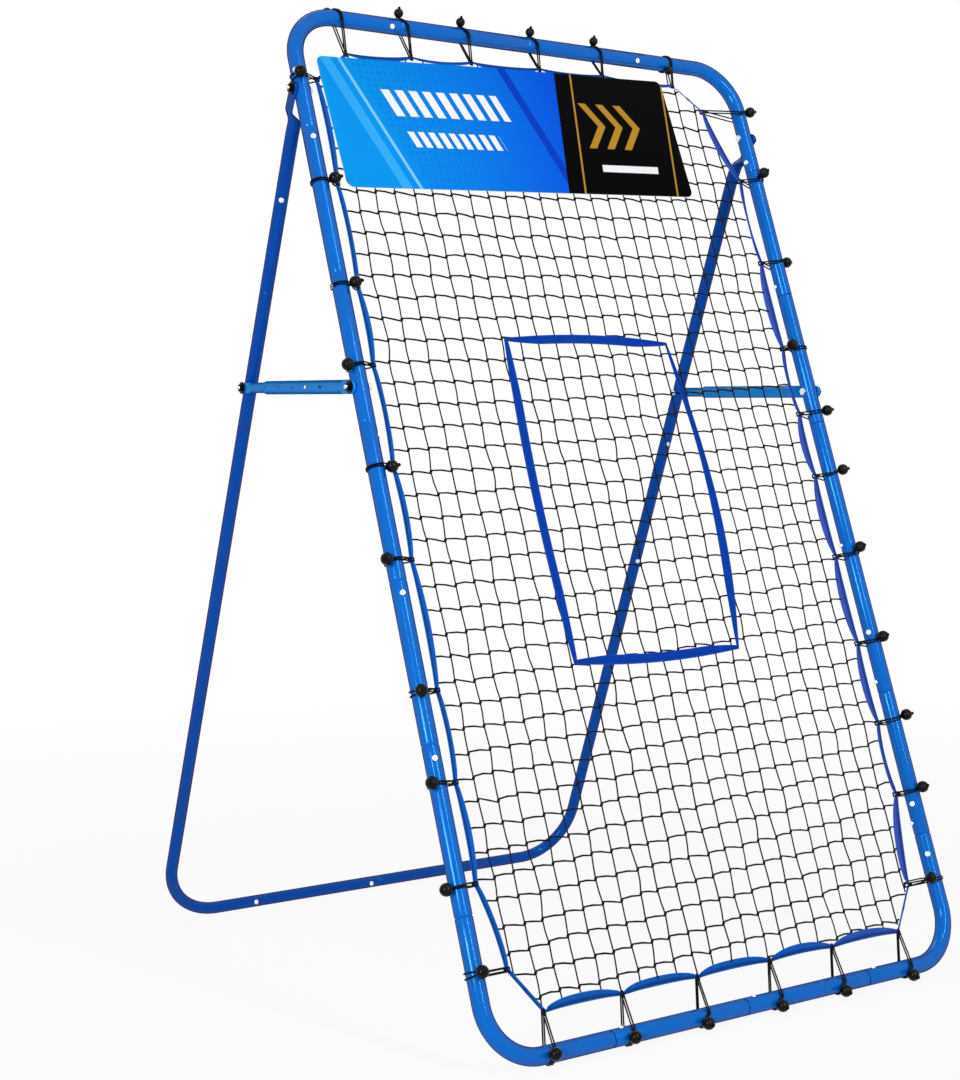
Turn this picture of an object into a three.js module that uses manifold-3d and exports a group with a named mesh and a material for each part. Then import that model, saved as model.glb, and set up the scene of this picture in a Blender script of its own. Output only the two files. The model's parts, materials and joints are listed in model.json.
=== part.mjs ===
// Rebounder net: a tubular frame with an elastic net leans back on a hinged rear frame.
// Two telescopic struts hold the two frames apart. Millimetres, +Z up, -Y to the player.
import * as THREE from "three";
import { mergeVertices } from "three/addons/utils/BufferGeometryUtils.js";
import Module from "manifold-3d";

const wasm = await Module();
wasm.setup();

const degree = Math.PI / 180;
const LEFT = -1;
const RIGHT = 1;
const sideName = (side) => (side === LEFT ? "left" : "right");

// Front frame
const frameWidth = 1219; // outside
const frameHeight = 2134; // outside, along the slope
const lean = 18.9 * degree; // from upright
const railRadius = 17;
const railWall = 1.5;
const railBend = 107; // centre line of the corner
const railArm = 264; // from the corner to the joint
const railSideTubes = 5;
const railEndTubes = 2;

// Rear frame
const legRadius = 14;
const legWall = 1.5;
const stance = 778.6; // along the floor, from under the hinge to the rear tube
const legBend = 138;
const legArm = 264;
const legTubes = 4;
const legEndTubes = 2;
const legTopLength = 424;
const legKinkLength = 100; // from the hinge to the slight forward bend
const legKinkRadius = 150;
const legKink = 5 * degree;
const legOutset = 1; // the legs stand this far outside the rails' planes

// Joints of the tubes
const seatGap = 0.3; // between pieces that touch
const insert = 45; // length of a swaged end
const shoulder = 3; // length of the step to a swaged end
const tubeSides = 10;
const bendSteps = 5;
const overrun = 1; // of a cut past the faces it cuts

// Hinge bolts and the crushed tube ends on them
const hingeBelowTop = 175; // down the slope from the top rail
const boltRadius = 4;
const boltHeadRadius = 8.5;
const boltHeadHeight = 5.5;
const washerRadius = 13;
const washerThickness = 2.5;
const boltSides = 8;
const tabThickness = 6;
const tabFlatLength = 44; // flat this far from the bolt on a leg
const tabBlendLength = 26; // then round again after this
const boreSetback = 8; // the bore stops this far from the crushed part

// Struts
const strutBelowTubes = 3; // side tubes below the one that carries the front bolt
const strutSeat = 77.8; // up that tube to the bolt
const strutRadius = 14;
const strutWall = 2.5;
const strutMouthToBolt = 93.4; // mouth of the outer tube to the rear bolt
const strutFlatLength = 30;
const strutHoles = 5;
const strutFirstHoleShare = 0.3216; // of the outer tube, from its bolt
const strutLastHoleShare = 0.9595;
const strutHoleInUse = 1; // counted from the bolt, from nought
const strutInnerWall = 1.5;
const strutInnerTab = 13; // half the width of the inner tube's crushed end
const strutInnerTabThickness = 5;
const strutInnerFlat = 16; // flat this far from the rear bolt
const strutInnerBlend = 15; // then round again after this
const strutInnerPast = 25; // inner tube past its button
const buttonRadius = 3;
const buttonRise = 3; // above the outer tube
const buttonFlangeRadius = 5;
const buttonFlange = 1.5;
const openPivotPlay = 3; // round the rear strut bolts

// Net, webbing and ties
const cord = 4;
const cordStrands = 2;
const ballRadius = 12.5;
const ballSink = 2; // the cord is pulled into the ball
const ballSides = 6;
const ballRings = 4;
const tieCorners = 5; // of a tie's loop, round the far side of its rail
const tieFacet = 54 * degree; // from one corner to the next
const webbing = 20;
const webbingThickness = 2;
const strand = 3;
const netColumns = 11;
const netRows = 20;
const tieOverlap = 4; // a side tie's end on the webbing
const tiesLeftShares = [0.076, 0.152, 0.241, 0.324, 0.445, 0.534, 0.633, 0.712, 0.818, 0.928];
const tiesRightShares = [0.078, 0.169, 0.244, 0.329, 0.424, 0.514, 0.585, 0.66, 0.762, 0.861, 0.944];
const tiesTopShares = [-0.4, -0.264, -0.135, 0.019, 0.168, 0.34];
const tiesBottomShares = [-0.393, -0.24, -0.085, 0.073, 0.217, 0.379];
const hemGapSide = 45; // rail's centre line to the webbing at a tie
const hemGapTop = 62;
const hemGapBottom = 72;
const hemGapLastLeft = 66;
const hemGapLastRight = 80;
const hemGapTopRight = 112;
const bowSide = 14; // the webbing bows in between ties
const bowTop = 12;
const bowBottom = 26;
const bowShares = [0.3, 0.7];
// Where each ball sits round its rail: 180 is outside, 90 is in front, 0 is towards the net
const ballsLeft = [95, 165, 140, 115, 145, 35, 150, 40, 40, 75];
const ballsRight = [35, 100, 145, 95, 95, 150, 155, 25, 175, 95, 160];
const ballsTop = [150, 145, 140, 140, 145, 30];
const ballsBottom = [121, 121, 121, 121, 121, 121];

// Target and sign
const targetWidth = 430;
const targetHeight = 690;
const targetX = -16;
const targetBulgeLeft = 14;
const targetBulgeRight = 38;
const targetBulgeEnds = 12;
const signHeight = 287;
const signGapLeft = 57; // side rails' centre lines to the sign
const signGapRight = 223;
const signBelowTop = 228; // top rail's centre line to the sign's middle
const signTurn = -2.8 * degree;
const signCorner = 16;
const signThickness = 2;
const curveSteps = 4;

// Places worked out from the sizes above
const railX = frameWidth / 2 - railRadius;
const railUp = frameHeight - 2 * railRadius;
const loopInner = railRadius + seatGap;
const loopOuter = loopInner + cord;
const railLift = loopOuter; // the cords pass under the bottom rail
const legX = railX + legOutset;
const legKinkArc = legKinkRadius * legKink;
const legTopEnd = legKinkLength - legKinkArc;
const legBehind = legKinkRadius * (1 - Math.cos(legKink)) + legTopEnd * Math.sin(legKink);
const legKinkDrop = legKinkRadius * Math.sin(legKink) + legTopEnd * Math.cos(legKink);
const flatRadius = (radius) => radius * Math.cos(Math.PI / tubeSides);
const clearHole = (radius) => (radius + seatGap) / Math.cos(Math.PI / boltSides);
const tabPlane = railX + flatRadius(railRadius) + seatGap + tabThickness / 2;
const strutX = tabPlane + tabThickness / 2 - strutRadius;
const strutInnerRadius = strutRadius - strutWall - seatGap;
const clothFront = -strand / 2 - seatGap - webbingThickness;

const sideLength = (railUp - 2 * railArm) / railSideTubes;
const hingeHeight = railUp - hingeBelowTop;
const strutUp = railArm + strutBelowTubes * sideLength + strutSeat;
const strutReach = hingeHeight - strutUp; // hinge to either strut bolt
const hinge = onSlope(hingeHeight);
const legDrop = hinge.z - flatRadius(legRadius);
const legLength = Math.sqrt(stance ** 2 + legDrop ** 2 - legBehind ** 2); // hinge to bottom tube
const rearLean = Math.atan2(stance, legDrop) - Math.atan2(legBehind, legLength);
const facet = (2 * Math.PI) / tubeSides;
const legSpin = Math.round(rearLean / facet) * facet - rearLean; // a flat of the tubes faces down
const legSide = legRadius * Math.cos(facet / 2 - Math.abs(legSpin)); // middle to outermost edge
const strutInnerPlane = legX + legSide + seatGap + strutInnerTabThickness / 2;
const strutDown = Math.sqrt(strutReach ** 2 - legBehind ** 2);
const strutFront = onSlope(strutUp);
const strutRear = onLeg(-strutDown);
const strutSpan = strutFront.distanceTo(strutRear);
const strutTurn = Math.atan2(strutFront.y - strutRear.y, strutRear.z - strutFront.z);
const strutLength = strutSpan - strutMouthToBolt; // bolt to mouth, outer tube
const strutHoleStart = strutFirstHoleShare * strutLength;
const strutHolePitch = (strutLastHoleShare * strutLength - strutHoleStart) / (strutHoles - 1);

// A point on the front frame's middle plane, in the whole part's frame
function onSlope(up) {
  return new THREE.Vector3(0, up * Math.sin(lean), railLift + up * Math.cos(lean));
}

// A point on the legs' straight line, given how far it is above the hinge
function onLeg(up) {
  const point = new THREE.Vector3(0, legBehind, up);
  return point.applyAxisAngle(new THREE.Vector3(1, 0, 0), rearLean).add(hinge);
}

const paint = { color: 0x0a74e4, roughness: 0.32, metalness: 0.15 };
const materials = {
  rail: new THREE.MeshStandardMaterial(paint),
  leg: new THREE.MeshStandardMaterial({ ...paint, color: 0x0b58cc }),
  steel: new THREE.MeshStandardMaterial({ color: 0x2a2c30, roughness: 0.4, metalness: 0.8 }),
  button: new THREE.MeshStandardMaterial({ color: 0xd5d9dd, roughness: 0.25, metalness: 1 }),
  twine: new THREE.MeshStandardMaterial({ color: 0x0c0c0e, roughness: 0.85, metalness: 0 }),
  tie: new THREE.MeshStandardMaterial({ color: 0x08080a, roughness: 0.3, metalness: 0 }),
  webbing: new THREE.MeshStandardMaterial({ color: 0x1b3fc4, roughness: 0.75, metalness: 0 }),
  sign: new THREE.MeshStandardMaterial({ color: 0x0a66e8, roughness: 0.4, metalness: 0 }),
};

// A fresh geometry with its vertices shared and its empty triangles dropped
function tidy(geometry) {
  if (geometry.attributes.uv === undefined) return geometry;
  const bare = geometry.clone();
  bare.deleteAttribute("normal");
  bare.deleteAttribute("uv");
  const merged = mergeVertices(bare);
  const index = merged.index.array;
  const kept = [];
  for (let i = 0; i < index.length; i += 3) {
    const [a, b, c] = [index[i], index[i + 1], index[i + 2]];
    if (a !== b && b !== c && c !== a) kept.push(a, b, c);
  }
  merged.setIndex(kept);
  return merged;
}

function solid(geometry) {
  const bare = tidy(geometry);
  const mesh = new wasm.Mesh({
    numProp: 3,
    vertProperties: new Float32Array(bare.attributes.position.array),
    triVerts: new Uint32Array(bare.index.array),
  });
  return new wasm.Manifold(mesh);
}

function surface(body) {
  const mesh = body.getMesh();
  const geometry = new THREE.BufferGeometry();
  geometry.setAttribute("position", new THREE.BufferAttribute(mesh.vertProperties, mesh.numProp));
  geometry.setIndex(new THREE.BufferAttribute(mesh.triVerts, 1));
  return geometry;
}

function united(geometries) {
  return geometries.map(solid).reduce((whole, part) => whole.add(part));
}

function piece(name, geometry, material) {
  const mesh = new THREE.Mesh(tidy(geometry), material);
  mesh.geometry.computeVertexNormals();
  mesh.name = name;
  return mesh;
}

// A round solid along +Z from pairs of radius and height
function turned(profile, sides) {
  const points = profile.map(([radius, height]) => new THREE.Vector2(radius, height));
  if (THREE.ShapeUtils.area(points) < 0) points.reverse();
  return tidy(new THREE.LatheGeometry(points, sides).rotateX(Math.PI / 2));
}

// Moves every vertex of a geometry by a function of its place
function shaped(geometry, move) {
  const place = geometry.attributes.position;
  const point = new THREE.Vector3();
  for (let i = 0; i < place.count; i += 1) {
    move(point.fromBufferAttribute(place, i));
    place.setXYZ(i, point.x, point.y, point.z);
  }
  return geometry;
}

// Bends a tube that lies along +Z, from one height on, towards +X or +Y
function bent(geometry, start, radius, angle, axis, towards) {
  return shaped(geometry, (point) => {
    const along = point.z - start;
    if (along <= 0) return;
    const turn = Math.min(along / radius, angle);
    const rest = along - turn * radius;
    const arm = radius - towards * point[axis];
    point[axis] = towards * (radius - arm * Math.cos(turn) + rest * Math.sin(turn));
    point.z = start + arm * Math.sin(turn) + rest * Math.cos(turn);
  });
}

// Crushes the end of a tube to a flat tab whose middle plane is at x
function crushed(geometry, thickness, x, flatness) {
  const squareness = 1 / Math.cos(1.5 * facet);
  return shaped(geometry, (point) => {
    const share = flatness(point.z);
    const across = Math.hypot(point.x, point.y);
    if (share === 0 || across === 0) {
      point.x += share * x;
      return;
    }
    const flat = x + THREE.MathUtils.clamp((point.x / across) * squareness, -1, 1) * thickness / 2;
    point.x = THREE.MathUtils.lerp(point.x, flat, share);
  });
}

// Heights of the rings that a bend needs
function bendStations(start, radius, angle, steps) {
  return Array.from({ length: steps + 1 }, (_, i) => start + (radius * angle * i) / steps);
}

// The outer and inner points of a tube's start, swaged to fit the tube before it or plain
function tubeStart({ radius, wall, swaged }) {
  const bore = radius - wall;
  if (!swaged) return { outer: [[radius, seatGap]], inner: [[bore, seatGap]] };
  const swage = bore - seatGap;
  return {
    outer: [[swage, -insert], [swage, 0], [radius, shoulder]],
    inner: [[swage - wall, -insert], [swage - wall, 0], [bore, shoulder]],
  };
}

// The outline of an open tube with a swaged start, a plain end and rings between
function tubeProfile({ radius, wall, length, stations = [] }) {
  const { outer, inner } = tubeStart({ radius, wall, swaged: true });
  for (const height of [...stations, length - seatGap]) {
    outer.push([radius, height]);
    inner.push([radius - wall, height]);
  }
  return [...outer, ...inner.reverse(), outer[0]];
}

// The outline of a tube whose end is closed by crushing, with a round tip past the bolt
function tabProfile({ start, bolt, radius, tip, flat, blend }) {
  const roundShares = [0, 0.5, 0.87];
  const tail = roundShares.map((share) => [tip * Math.sqrt(1 - share ** 2), bolt + tip * share]);
  const blunt = [tip * 0.2, bolt + tip];
  return [...start, [radius, bolt - flat - blend], [tip, bolt - flat], ...tail, blunt, [0, bolt + tip]];
}

function crossRod(x, y, z, radius, length, sides) {
  const rod = new THREE.CylinderGeometry(radius, radius, length, sides);
  return rod.rotateZ(Math.PI / 2).translate(x, y, z);
}

// Drills a mesh with a cutter that is given in its parent's frame
function drill(mesh, cutter) {
  mesh.updateMatrix();
  cutter.applyMatrix4(mesh.matrix.clone().invert());
  mesh.geometry = surface(solid(mesh.geometry).subtract(solid(cutter)));
  mesh.geometry.computeVertexNormals();
}

// A tube corner of the front or rear frame, turning towards +X or -X
function elbow({ radius, wall, bend, arm, spin }, towards) {
  const lead = arm - bend;
  const quarter = Math.PI / 2;
  const length = 2 * lead + bend * quarter;
  const stations = bendStations(lead, bend, quarter, bendSteps);
  const tube = turned(tubeProfile({ radius, wall, length, stations }), tubeSides).rotateZ(spin);
  return bent(tube, lead, bend, quarter, "x", towards);
}

// Lays tubes end to end round a frame, turning one way at each elbow
function layTubes(group, pieces, start, heading, turn, spec, material) {
  const cursor = start.clone();
  let angle = heading;
  const ahead = () => new THREE.Vector3(Math.sin(angle), 0, Math.cos(angle));
  for (const { name, length } of pieces) {
    const corner = length === undefined;
    const shape = corner
      ? elbow(spec, turn)
      : turned(tubeProfile({ ...spec, length }), tubeSides).rotateZ(spec.spin);
    const mesh = piece(name, shape, material);
    mesh.position.copy(cursor);
    mesh.rotation.y = angle;
    group.add(mesh);
    cursor.addScaledVector(ahead(), corner ? spec.arm : length);
    if (corner) {
      angle += turn * Math.PI / 2;
      cursor.addScaledVector(ahead(), spec.arm);
    }
  }
}

// A bolt with its washer and nut, lying along X, its head on the outside
function bolt(name, side, y, z, headX, nutX) {
  const length = Math.abs(headX - nutX);
  const headTop = washerThickness + boltHeadHeight;
  const profile = [
    [0, headTop],
    [boltHeadRadius, headTop],
    [boltHeadRadius, washerThickness],
    [washerRadius, washerThickness],
    [washerRadius, 0],
    [boltRadius, 0],
    [boltRadius, -length],
    [boltHeadRadius, -length],
    [boltHeadRadius, -length - boltHeadHeight],
    [0, -length - boltHeadHeight],
  ];
  const mesh = piece(name, turned(profile.reverse(), boltSides), materials.steel);
  mesh.position.set(side * headX, y, z);
  mesh.rotation.y = side * Math.PI / 2;
  return mesh;
}

function frontFrame() {
  const group = new THREE.Group();
  group.position.z = railLift;
  group.rotation.x = -lean;
  const endLength = (2 * railX - 2 * railArm) / railEndTubes;
  const upwards = Array.from({ length: railSideTubes }, (_, i) => i + 1);
  const across = Array.from({ length: railEndTubes }, (_, i) => i + 1);
  const pieces = [
    { name: "corner_bottom_left" },
    ...upwards.map((i) => ({ name: `side_tube_left_${i}`, length: sideLength })),
    { name: "corner_top_left" },
    ...across.map((i) => ({ name: `top_tube_${i}`, length: endLength })),
    { name: "corner_top_right" },
    ...upwards.toReversed().map((i) => ({ name: `side_tube_right_${i}`, length: sideLength })),
    { name: "corner_bottom_right" },
    ...across.toReversed().map((i) => ({ name: `bottom_tube_${i}`, length: endLength })),
  ];
  const spec = { radius: railRadius, wall: railWall, bend: railBend, arm: railArm, spin: 0 };
  const start = new THREE.Vector3(railArm - railX, 0, 0);
  layTubes(group, pieces, start, -Math.PI / 2, 1, spec, materials.rail);
  for (const side of [LEFT, RIGHT]) {
    const name = sideName(side);
    const headX = tabPlane + tabThickness / 2 + seatGap;
    const nutX = railX - flatRadius(railRadius) - seatGap;
    const holeRadius = clearHole(boltRadius);
    const hole = (up) => crossRod(side * railX, 0, up, holeRadius, 3 * railRadius, boltSides);
    drill(group.getObjectByName(`corner_top_${name}`), hole(hingeHeight));
    drill(group.getObjectByName(`side_tube_${name}_${strutBelowTubes + 1}`), hole(strutUp));
    group.add(bolt(`hinge_bolt_${name}`, side, 0, hingeHeight, headX, nutX));
    group.add(bolt(`strut_front_bolt_${name}`, side, 0, strutUp, headX, nutX));
  }
  return group;
}

// The top piece of a leg: straight, bent a little forward, and crushed flat at the hinge
function legTop(side) {
  const lead = legTopLength - legKinkDrop;
  const boltAt = lead + legKinkLength;
  const roundTo = boltAt - tabFlatLength - tabBlendLength;
  const bore = legRadius - legWall;
  const boreEnd = roundTo - boreSetback;
  const { outer, inner } = tubeStart({ radius: legRadius, wall: legWall, swaged: side === RIGHT });
  for (const height of bendStations(lead, legKinkRadius, legKink, 1)) {
    outer.push([legRadius, height]);
    inner.push([bore, height]);
  }
  const start = [[0, boreEnd], [bore, boreEnd], ...inner.reverse(), ...outer];
  const sizes = { start, bolt: boltAt, radius: legRadius, tip: legRadius };
  const profile = tabProfile({ ...sizes, flat: tabFlatLength, blend: tabBlendLength });
  const tube = turned(profile, tubeSides);
  const spun = new THREE.Vector3(0, 0, 1);
  shaped(tube, (point) => {
    const share = 1 - THREE.MathUtils.smoothstep(point.z, lead, roundTo);
    point.applyAxisAngle(spun, side * legSpin * share);
  });
  const flatness = (z) => THREE.MathUtils.smoothstep(z, roundTo, boltAt - tabFlatLength);
  crushed(tube, tabThickness, side * (tabPlane - legX), flatness);
  bent(tube, lead, legKinkRadius, legKink, "y", -1);
  const mesh = piece(`leg_top_${sideName(side)}`, tube, materials.leg);
  mesh.position.set(side * legX, legBehind, -legTopLength);
  return mesh;
}

function rearFrame() {
  const group = new THREE.Group();
  group.position.copy(hinge);
  group.rotation.x = rearLean;
  const tubeLength = (legLength - legTopLength - legArm) / legTubes;
  const endLength = (2 * legX - 2 * legArm) / legEndTubes;
  const downwards = Array.from({ length: legTubes }, (_, i) => i + 1);
  const across = Array.from({ length: legEndTubes }, (_, i) => i + 1);
  const pieces = [
    ...downwards.map((i) => ({ name: `leg_tube_left_${i}`, length: tubeLength })),
    { name: "rear_corner_left" },
    ...across.map((i) => ({ name: `rear_bottom_tube_${i}`, length: endLength })),
    { name: "rear_corner_right" },
    ...downwards.toReversed().map((i) => ({ name: `leg_tube_right_${i}`, length: tubeLength })),
  ];
  const spec = { radius: legRadius, wall: legWall, bend: legBend, arm: legArm, spin: legSpin };
  const start = new THREE.Vector3(-legX, legBehind, -legTopLength);
  layTubes(group, pieces, start, Math.PI, -1, spec, materials.leg);
  const holeRadius = clearHole(boltRadius);
  for (const side of [LEFT, RIGHT]) {
    const name = sideName(side);
    const top = legTop(side);
    group.add(top);
    drill(top, crossRod(side * tabPlane, 0, 0, holeRadius, 3 * tabThickness, boltSides));
    const hole = () => crossRod(side * legX, legBehind, -strutDown, holeRadius, 3 * legRadius, boltSides);
    downwards.forEach((i) => drill(group.getObjectByName(`leg_tube_${name}_${i}`), hole()));
    const headX = strutInnerPlane + strutInnerTabThickness / 2 + seatGap;
    const nutX = legX - legSide - seatGap;
    group.add(bolt(`strut_rear_bolt_${name}`, side, legBehind, -strutDown, headX, nutX));
  }
  return group;
}

// The outer tube of a strut, crushed at the front bolt, with its row of holes
function strutOuter(side) {
  const name = sideName(side);
  const bore = strutRadius - strutWall;
  const roundFrom = strutFlatLength + tabBlendLength;
  const boreEnd = roundFrom + boreSetback;
  const start = [[0, -boreEnd], [bore, -boreEnd], [bore, -strutLength], [strutRadius, -strutLength]];
  const sizes = { start, bolt: 0, radius: strutRadius, tip: strutRadius };
  const profile = tabProfile({ ...sizes, flat: strutFlatLength, blend: tabBlendLength });
  const tube = turned(profile, tubeSides);
  const flatness = (z) => THREE.MathUtils.smoothstep(z, -roundFrom, -strutFlatLength);
  crushed(tube, tabThickness, -side * (tabPlane - strutX), flatness);
  const mesh = piece(`strut_outer_${name}`, tube, materials.rail);
  mesh.position.x = side * strutX;
  mesh.rotation.y = Math.PI;
  return mesh;
}

function strutGroup(side) {
  const group = new THREE.Group();
  group.position.copy(strutFront);
  group.rotation.x = strutTurn;
  const name = sideName(side);
  const holeRadius = clearHole(buttonRadius);
  const outer = strutOuter(side);
  const boltHole = clearHole(boltRadius);
  drill(outer, crossRod(side * tabPlane, 0, 0, boltHole, 3 * tabThickness, boltSides));
  const buttonAt = strutHoleStart + strutHoleInUse * strutHolePitch;
  for (let i = 0; i < strutHoles; i += 1) {
    const along = strutHoleStart + i * strutHolePitch;
    const wallX = side * (strutX + strutRadius);
    drill(outer, crossRod(wallX, 0, along, holeRadius, 2 * strutWall + 2 * buttonRise, boltSides));
  }

  const bore = strutInnerRadius - strutInnerWall;
  const openEnd = buttonAt - strutInnerPast;
  const flatFrom = strutSpan - strutInnerFlat;
  const roundTo = flatFrom - strutInnerBlend;
  const boreEnd = roundTo - boreSetback;
  const start = [[0, boreEnd], [bore, boreEnd], [bore, openEnd], [strutInnerRadius, openEnd]];
  const sizes = { start, bolt: strutSpan, radius: strutInnerRadius, tip: strutInnerTab };
  const profile = tabProfile({ ...sizes, flat: strutInnerFlat, blend: strutInnerBlend });
  const tube = turned(profile, tubeSides);
  const flatness = (z) => THREE.MathUtils.smoothstep(z, roundTo, flatFrom);
  crushed(tube, strutInnerTabThickness, side * (strutInnerPlane - strutX), flatness);
  const inner = piece(`strut_inner_${name}`, tube, materials.rail);
  inner.position.x = side * strutX;
  const open = boltRadius + openPivotPlay;
  const tabHole = crossRod(side * strutInnerPlane, 0, strutSpan, open, 3 * tabThickness, boltSides);
  drill(inner, tabHole);
  const clipX = side * (strutX + strutInnerRadius);
  drill(inner, crossRod(clipX, 0, buttonAt, holeRadius, 4 * strutInnerWall, boltSides));

  const flangeTop = Math.sqrt(flatRadius(bore) ** 2 - buttonFlangeRadius ** 2) - seatGap;
  const buttonTop = strutRadius + buttonRise;
  const button = turned([
    [0, flangeTop - buttonFlange],
    [buttonFlangeRadius, flangeTop - buttonFlange],
    [buttonFlangeRadius, flangeTop],
    [buttonRadius, flangeTop],
    [buttonRadius, buttonTop - buttonRadius / 2],
    [buttonRadius / 2, buttonTop],
    [0, buttonTop],
  ], boltSides);
  const clip = piece(`strut_snap_button_${name}`, button, materials.button);
  clip.position.set(side * strutX, 0, buttonAt);
  clip.rotation.y = side * Math.PI / 2;
  group.add(outer, inner, clip);
  return group;
}

// Tie points on the webbing's outer edge, clockwise from the bottom left, one list a side
function tiePlaces() {
  const gapLeft = (i) => (i === 0 ? hemGapLastLeft : hemGapSide);
  const gapRight = (i) => {
    if (i === 0) return hemGapLastRight;
    return i === tiesRightShares.length - 1 ? hemGapTopRight : hemGapSide;
  };
  const spot = (x, up) => new THREE.Vector2(x, up);
  const left = tiesLeftShares.map((share, i) => spot(gapLeft(i) - railX, share * railUp));
  const right = tiesRightShares.map((share, i) => spot(railX - gapRight(i), share * railUp));
  const top = tiesTopShares.map((share) => spot(share * 2 * railX, railUp - hemGapTop));
  const bottom = tiesBottomShares.map((share) => spot(share * 2 * railX, hemGapBottom));
  return { left, top, right: right.reverse(), bottom: bottom.reverse() };
}

// The webbing's outer edge along one side, bowed in between its ties, with its corner ends
function hemEdge(ties, before, after, inwards, bow) {
  const corner = (from, to) => {
    const middle = from.clone().lerp(to, 0.5);
    return middle.addScaledVector(from.clone().sub(to).normalize(), seatGap / 2);
  };
  const points = [corner(ties[0], before)];
  ties.forEach((tie, i) => {
    points.push(tie.clone());
    if (i === ties.length - 1) return;
    for (const share of bowShares) {
      points.push(tie.clone().lerp(ties[i + 1], share).addScaledVector(inwards, bow));
    }
  });
  points.push(corner(ties.at(-1), after));
  return points;
}

// Moves a line of points to its right-hand side, which is the inside of a clockwise outline
function insetLine(points, distance, closed) {
  return points.map((point, i) => {
    const last = points.length - 1;
    const before = points[i === 0 ? (closed ? last : 0) : i - 1];
    const after = points[i === last ? (closed ? 0 : last) : i + 1];
    const into = point.clone().sub(before).normalize();
    const out = after.clone().sub(point).normalize();
    const along = into.add(out).normalize();
    return point.clone().add(new THREE.Vector2(along.y, -along.x).multiplyScalar(distance));
  });
}

// A flat solid in the net's plane from an outline of x and height, between two depths
function flatPiece(outline, holes, front, back) {
  const anticlockwise = (points) => (
    THREE.ShapeUtils.isClockWise(points) ? points.toReversed() : points
  );
  const shape = new THREE.Shape(anticlockwise(outline));
  shape.holes = holes.map((hole) => new THREE.Path(anticlockwise(hole)));
  const settings = { depth: back - front, bevelEnabled: false, curveSegments: curveSteps };
  return new THREE.ExtrudeGeometry(shape, settings).rotateX(Math.PI / 2).translate(0, back, 0);
}

// A tie in the plane across its rail: two strands of cord round the rail, and a ball
function tieSolid(reach, ballAngle, flatAngle) {
  const first = flatAngle - (tieCorners / 2) * tieFacet;
  const loop = (radius, tip) => {
    const points = Array.from({ length: tieCorners }, (_, i) => {
      const angle = first + i * tieFacet;
      const reachOut = radius / Math.cos(tieFacet / 2);
      return new THREE.Vector2(reachOut * Math.cos(angle), reachOut * Math.sin(angle));
    });
    return [...points, new THREE.Vector2(tip, -cord), new THREE.Vector2(tip, cord)];
  };
  const shape = new THREE.Shape(loop(loopOuter, reach));
  const hole = loop(loopInner, reach - 2 * cord).slice(0, tieCorners);
  shape.holes.push(new THREE.Path([...hole, new THREE.Vector2(reach - 2 * cord, 0)]));
  const width = cordStrands * cord;
  const band = new THREE.ExtrudeGeometry(shape, { depth: width, bevelEnabled: false });
  band.translate(0, 0, -width / 2);
  const ball = new THREE.SphereGeometry(ballRadius, ballSides, ballRings);
  const out = loopOuter + ballRadius - ballSink;
  ball.translate(out * Math.cos(ballAngle * degree), out * Math.sin(ballAngle * degree), 0);
  return surface(united([band, ball]));
}

// Turns a tie so that its own +X points from the rail to the net and its +Y to the front
function placeTie(geometry, inwards, x, up) {
  const basis = new THREE.Matrix4();
  const toNet = new THREE.Vector3(inwards.x, 0, inwards.y);
  const toFront = new THREE.Vector3(0, -1, 0);
  basis.makeBasis(toNet, toFront, toNet.clone().cross(toFront)).setPosition(x, 0, up);
  return geometry.applyMatrix4(basis);
}

function netGroup() {
  const group = new THREE.Group();
  group.position.z = railLift;
  group.rotation.x = -lean;
  const places = tiePlaces();
  const { left, top, right, bottom } = places;
  const inwards = {
    left: new THREE.Vector2(1, 0),
    top: new THREE.Vector2(0, -1),
    right: new THREE.Vector2(-1, 0),
    bottom: new THREE.Vector2(0, 1),
  };
  const edges = {
    left: hemEdge(left, bottom.at(-1), top[0], inwards.left, bowSide),
    top: hemEdge(top, left.at(-1), right[0], inwards.top, bowTop),
    right: hemEdge(right, top.at(-1), bottom[0], inwards.right, bowSide),
    bottom: hemEdge(bottom, right.at(-1), left[0], inwards.bottom, bowBottom),
  };
  const balls = {
    left: ballsLeft,
    top: ballsTop,
    right: ballsRight.toReversed(),
    bottom: ballsBottom,
  };
  const hemBack = clothFront + webbingThickness;
  for (const side of ["left", "top", "right", "bottom"]) {
    const edge = edges[side];
    const inner = insetLine(edge, webbing, false);
    let hem = flatPiece([...edge, ...inner.toReversed()], [], clothFront, hemBack);
    const upright = side === "left" || side === "right";
    const ties = places[side].map((tie, i) => {
      const railPlace = upright ? Math.sign(tie.x) * railX : (side === "top" ? railUp : 0);
      const gap = Math.abs((upright ? tie.x : tie.y) - railPlace);
      const loose = side === "bottom";
      const reach = loose ? gap - seatGap : gap + tieOverlap;
      const flatAngle = loose ? Math.PI + lean : Math.PI + tieFacet / 2;
      const geometry = tieSolid(reach, balls[side][i], flatAngle);
      return upright
        ? placeTie(geometry, inwards[side], railPlace, tie.y)
        : placeTie(geometry, inwards[side], tie.x, railPlace);
    });
    if (side === "bottom") {
      ties.forEach((tie, i) => group.add(piece(`bottom_tie_${i + 1}`, tie, materials.tie)));
    } else {
      hem = surface(united([hem, ...ties]));
    }
    group.add(piece(`hem_${side}`, hem, materials.webbing));
  }

  const outline = [...edges.left, ...edges.top, ...edges.right, ...edges.bottom];
  group.add(piece("net", netShape(outline), materials.twine));
  group.add(piece("target_webbing", targetShape(hemBack), materials.webbing));
  group.add(piece("sign_panel", signShape(), materials.sign));
  return group;
}

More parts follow.
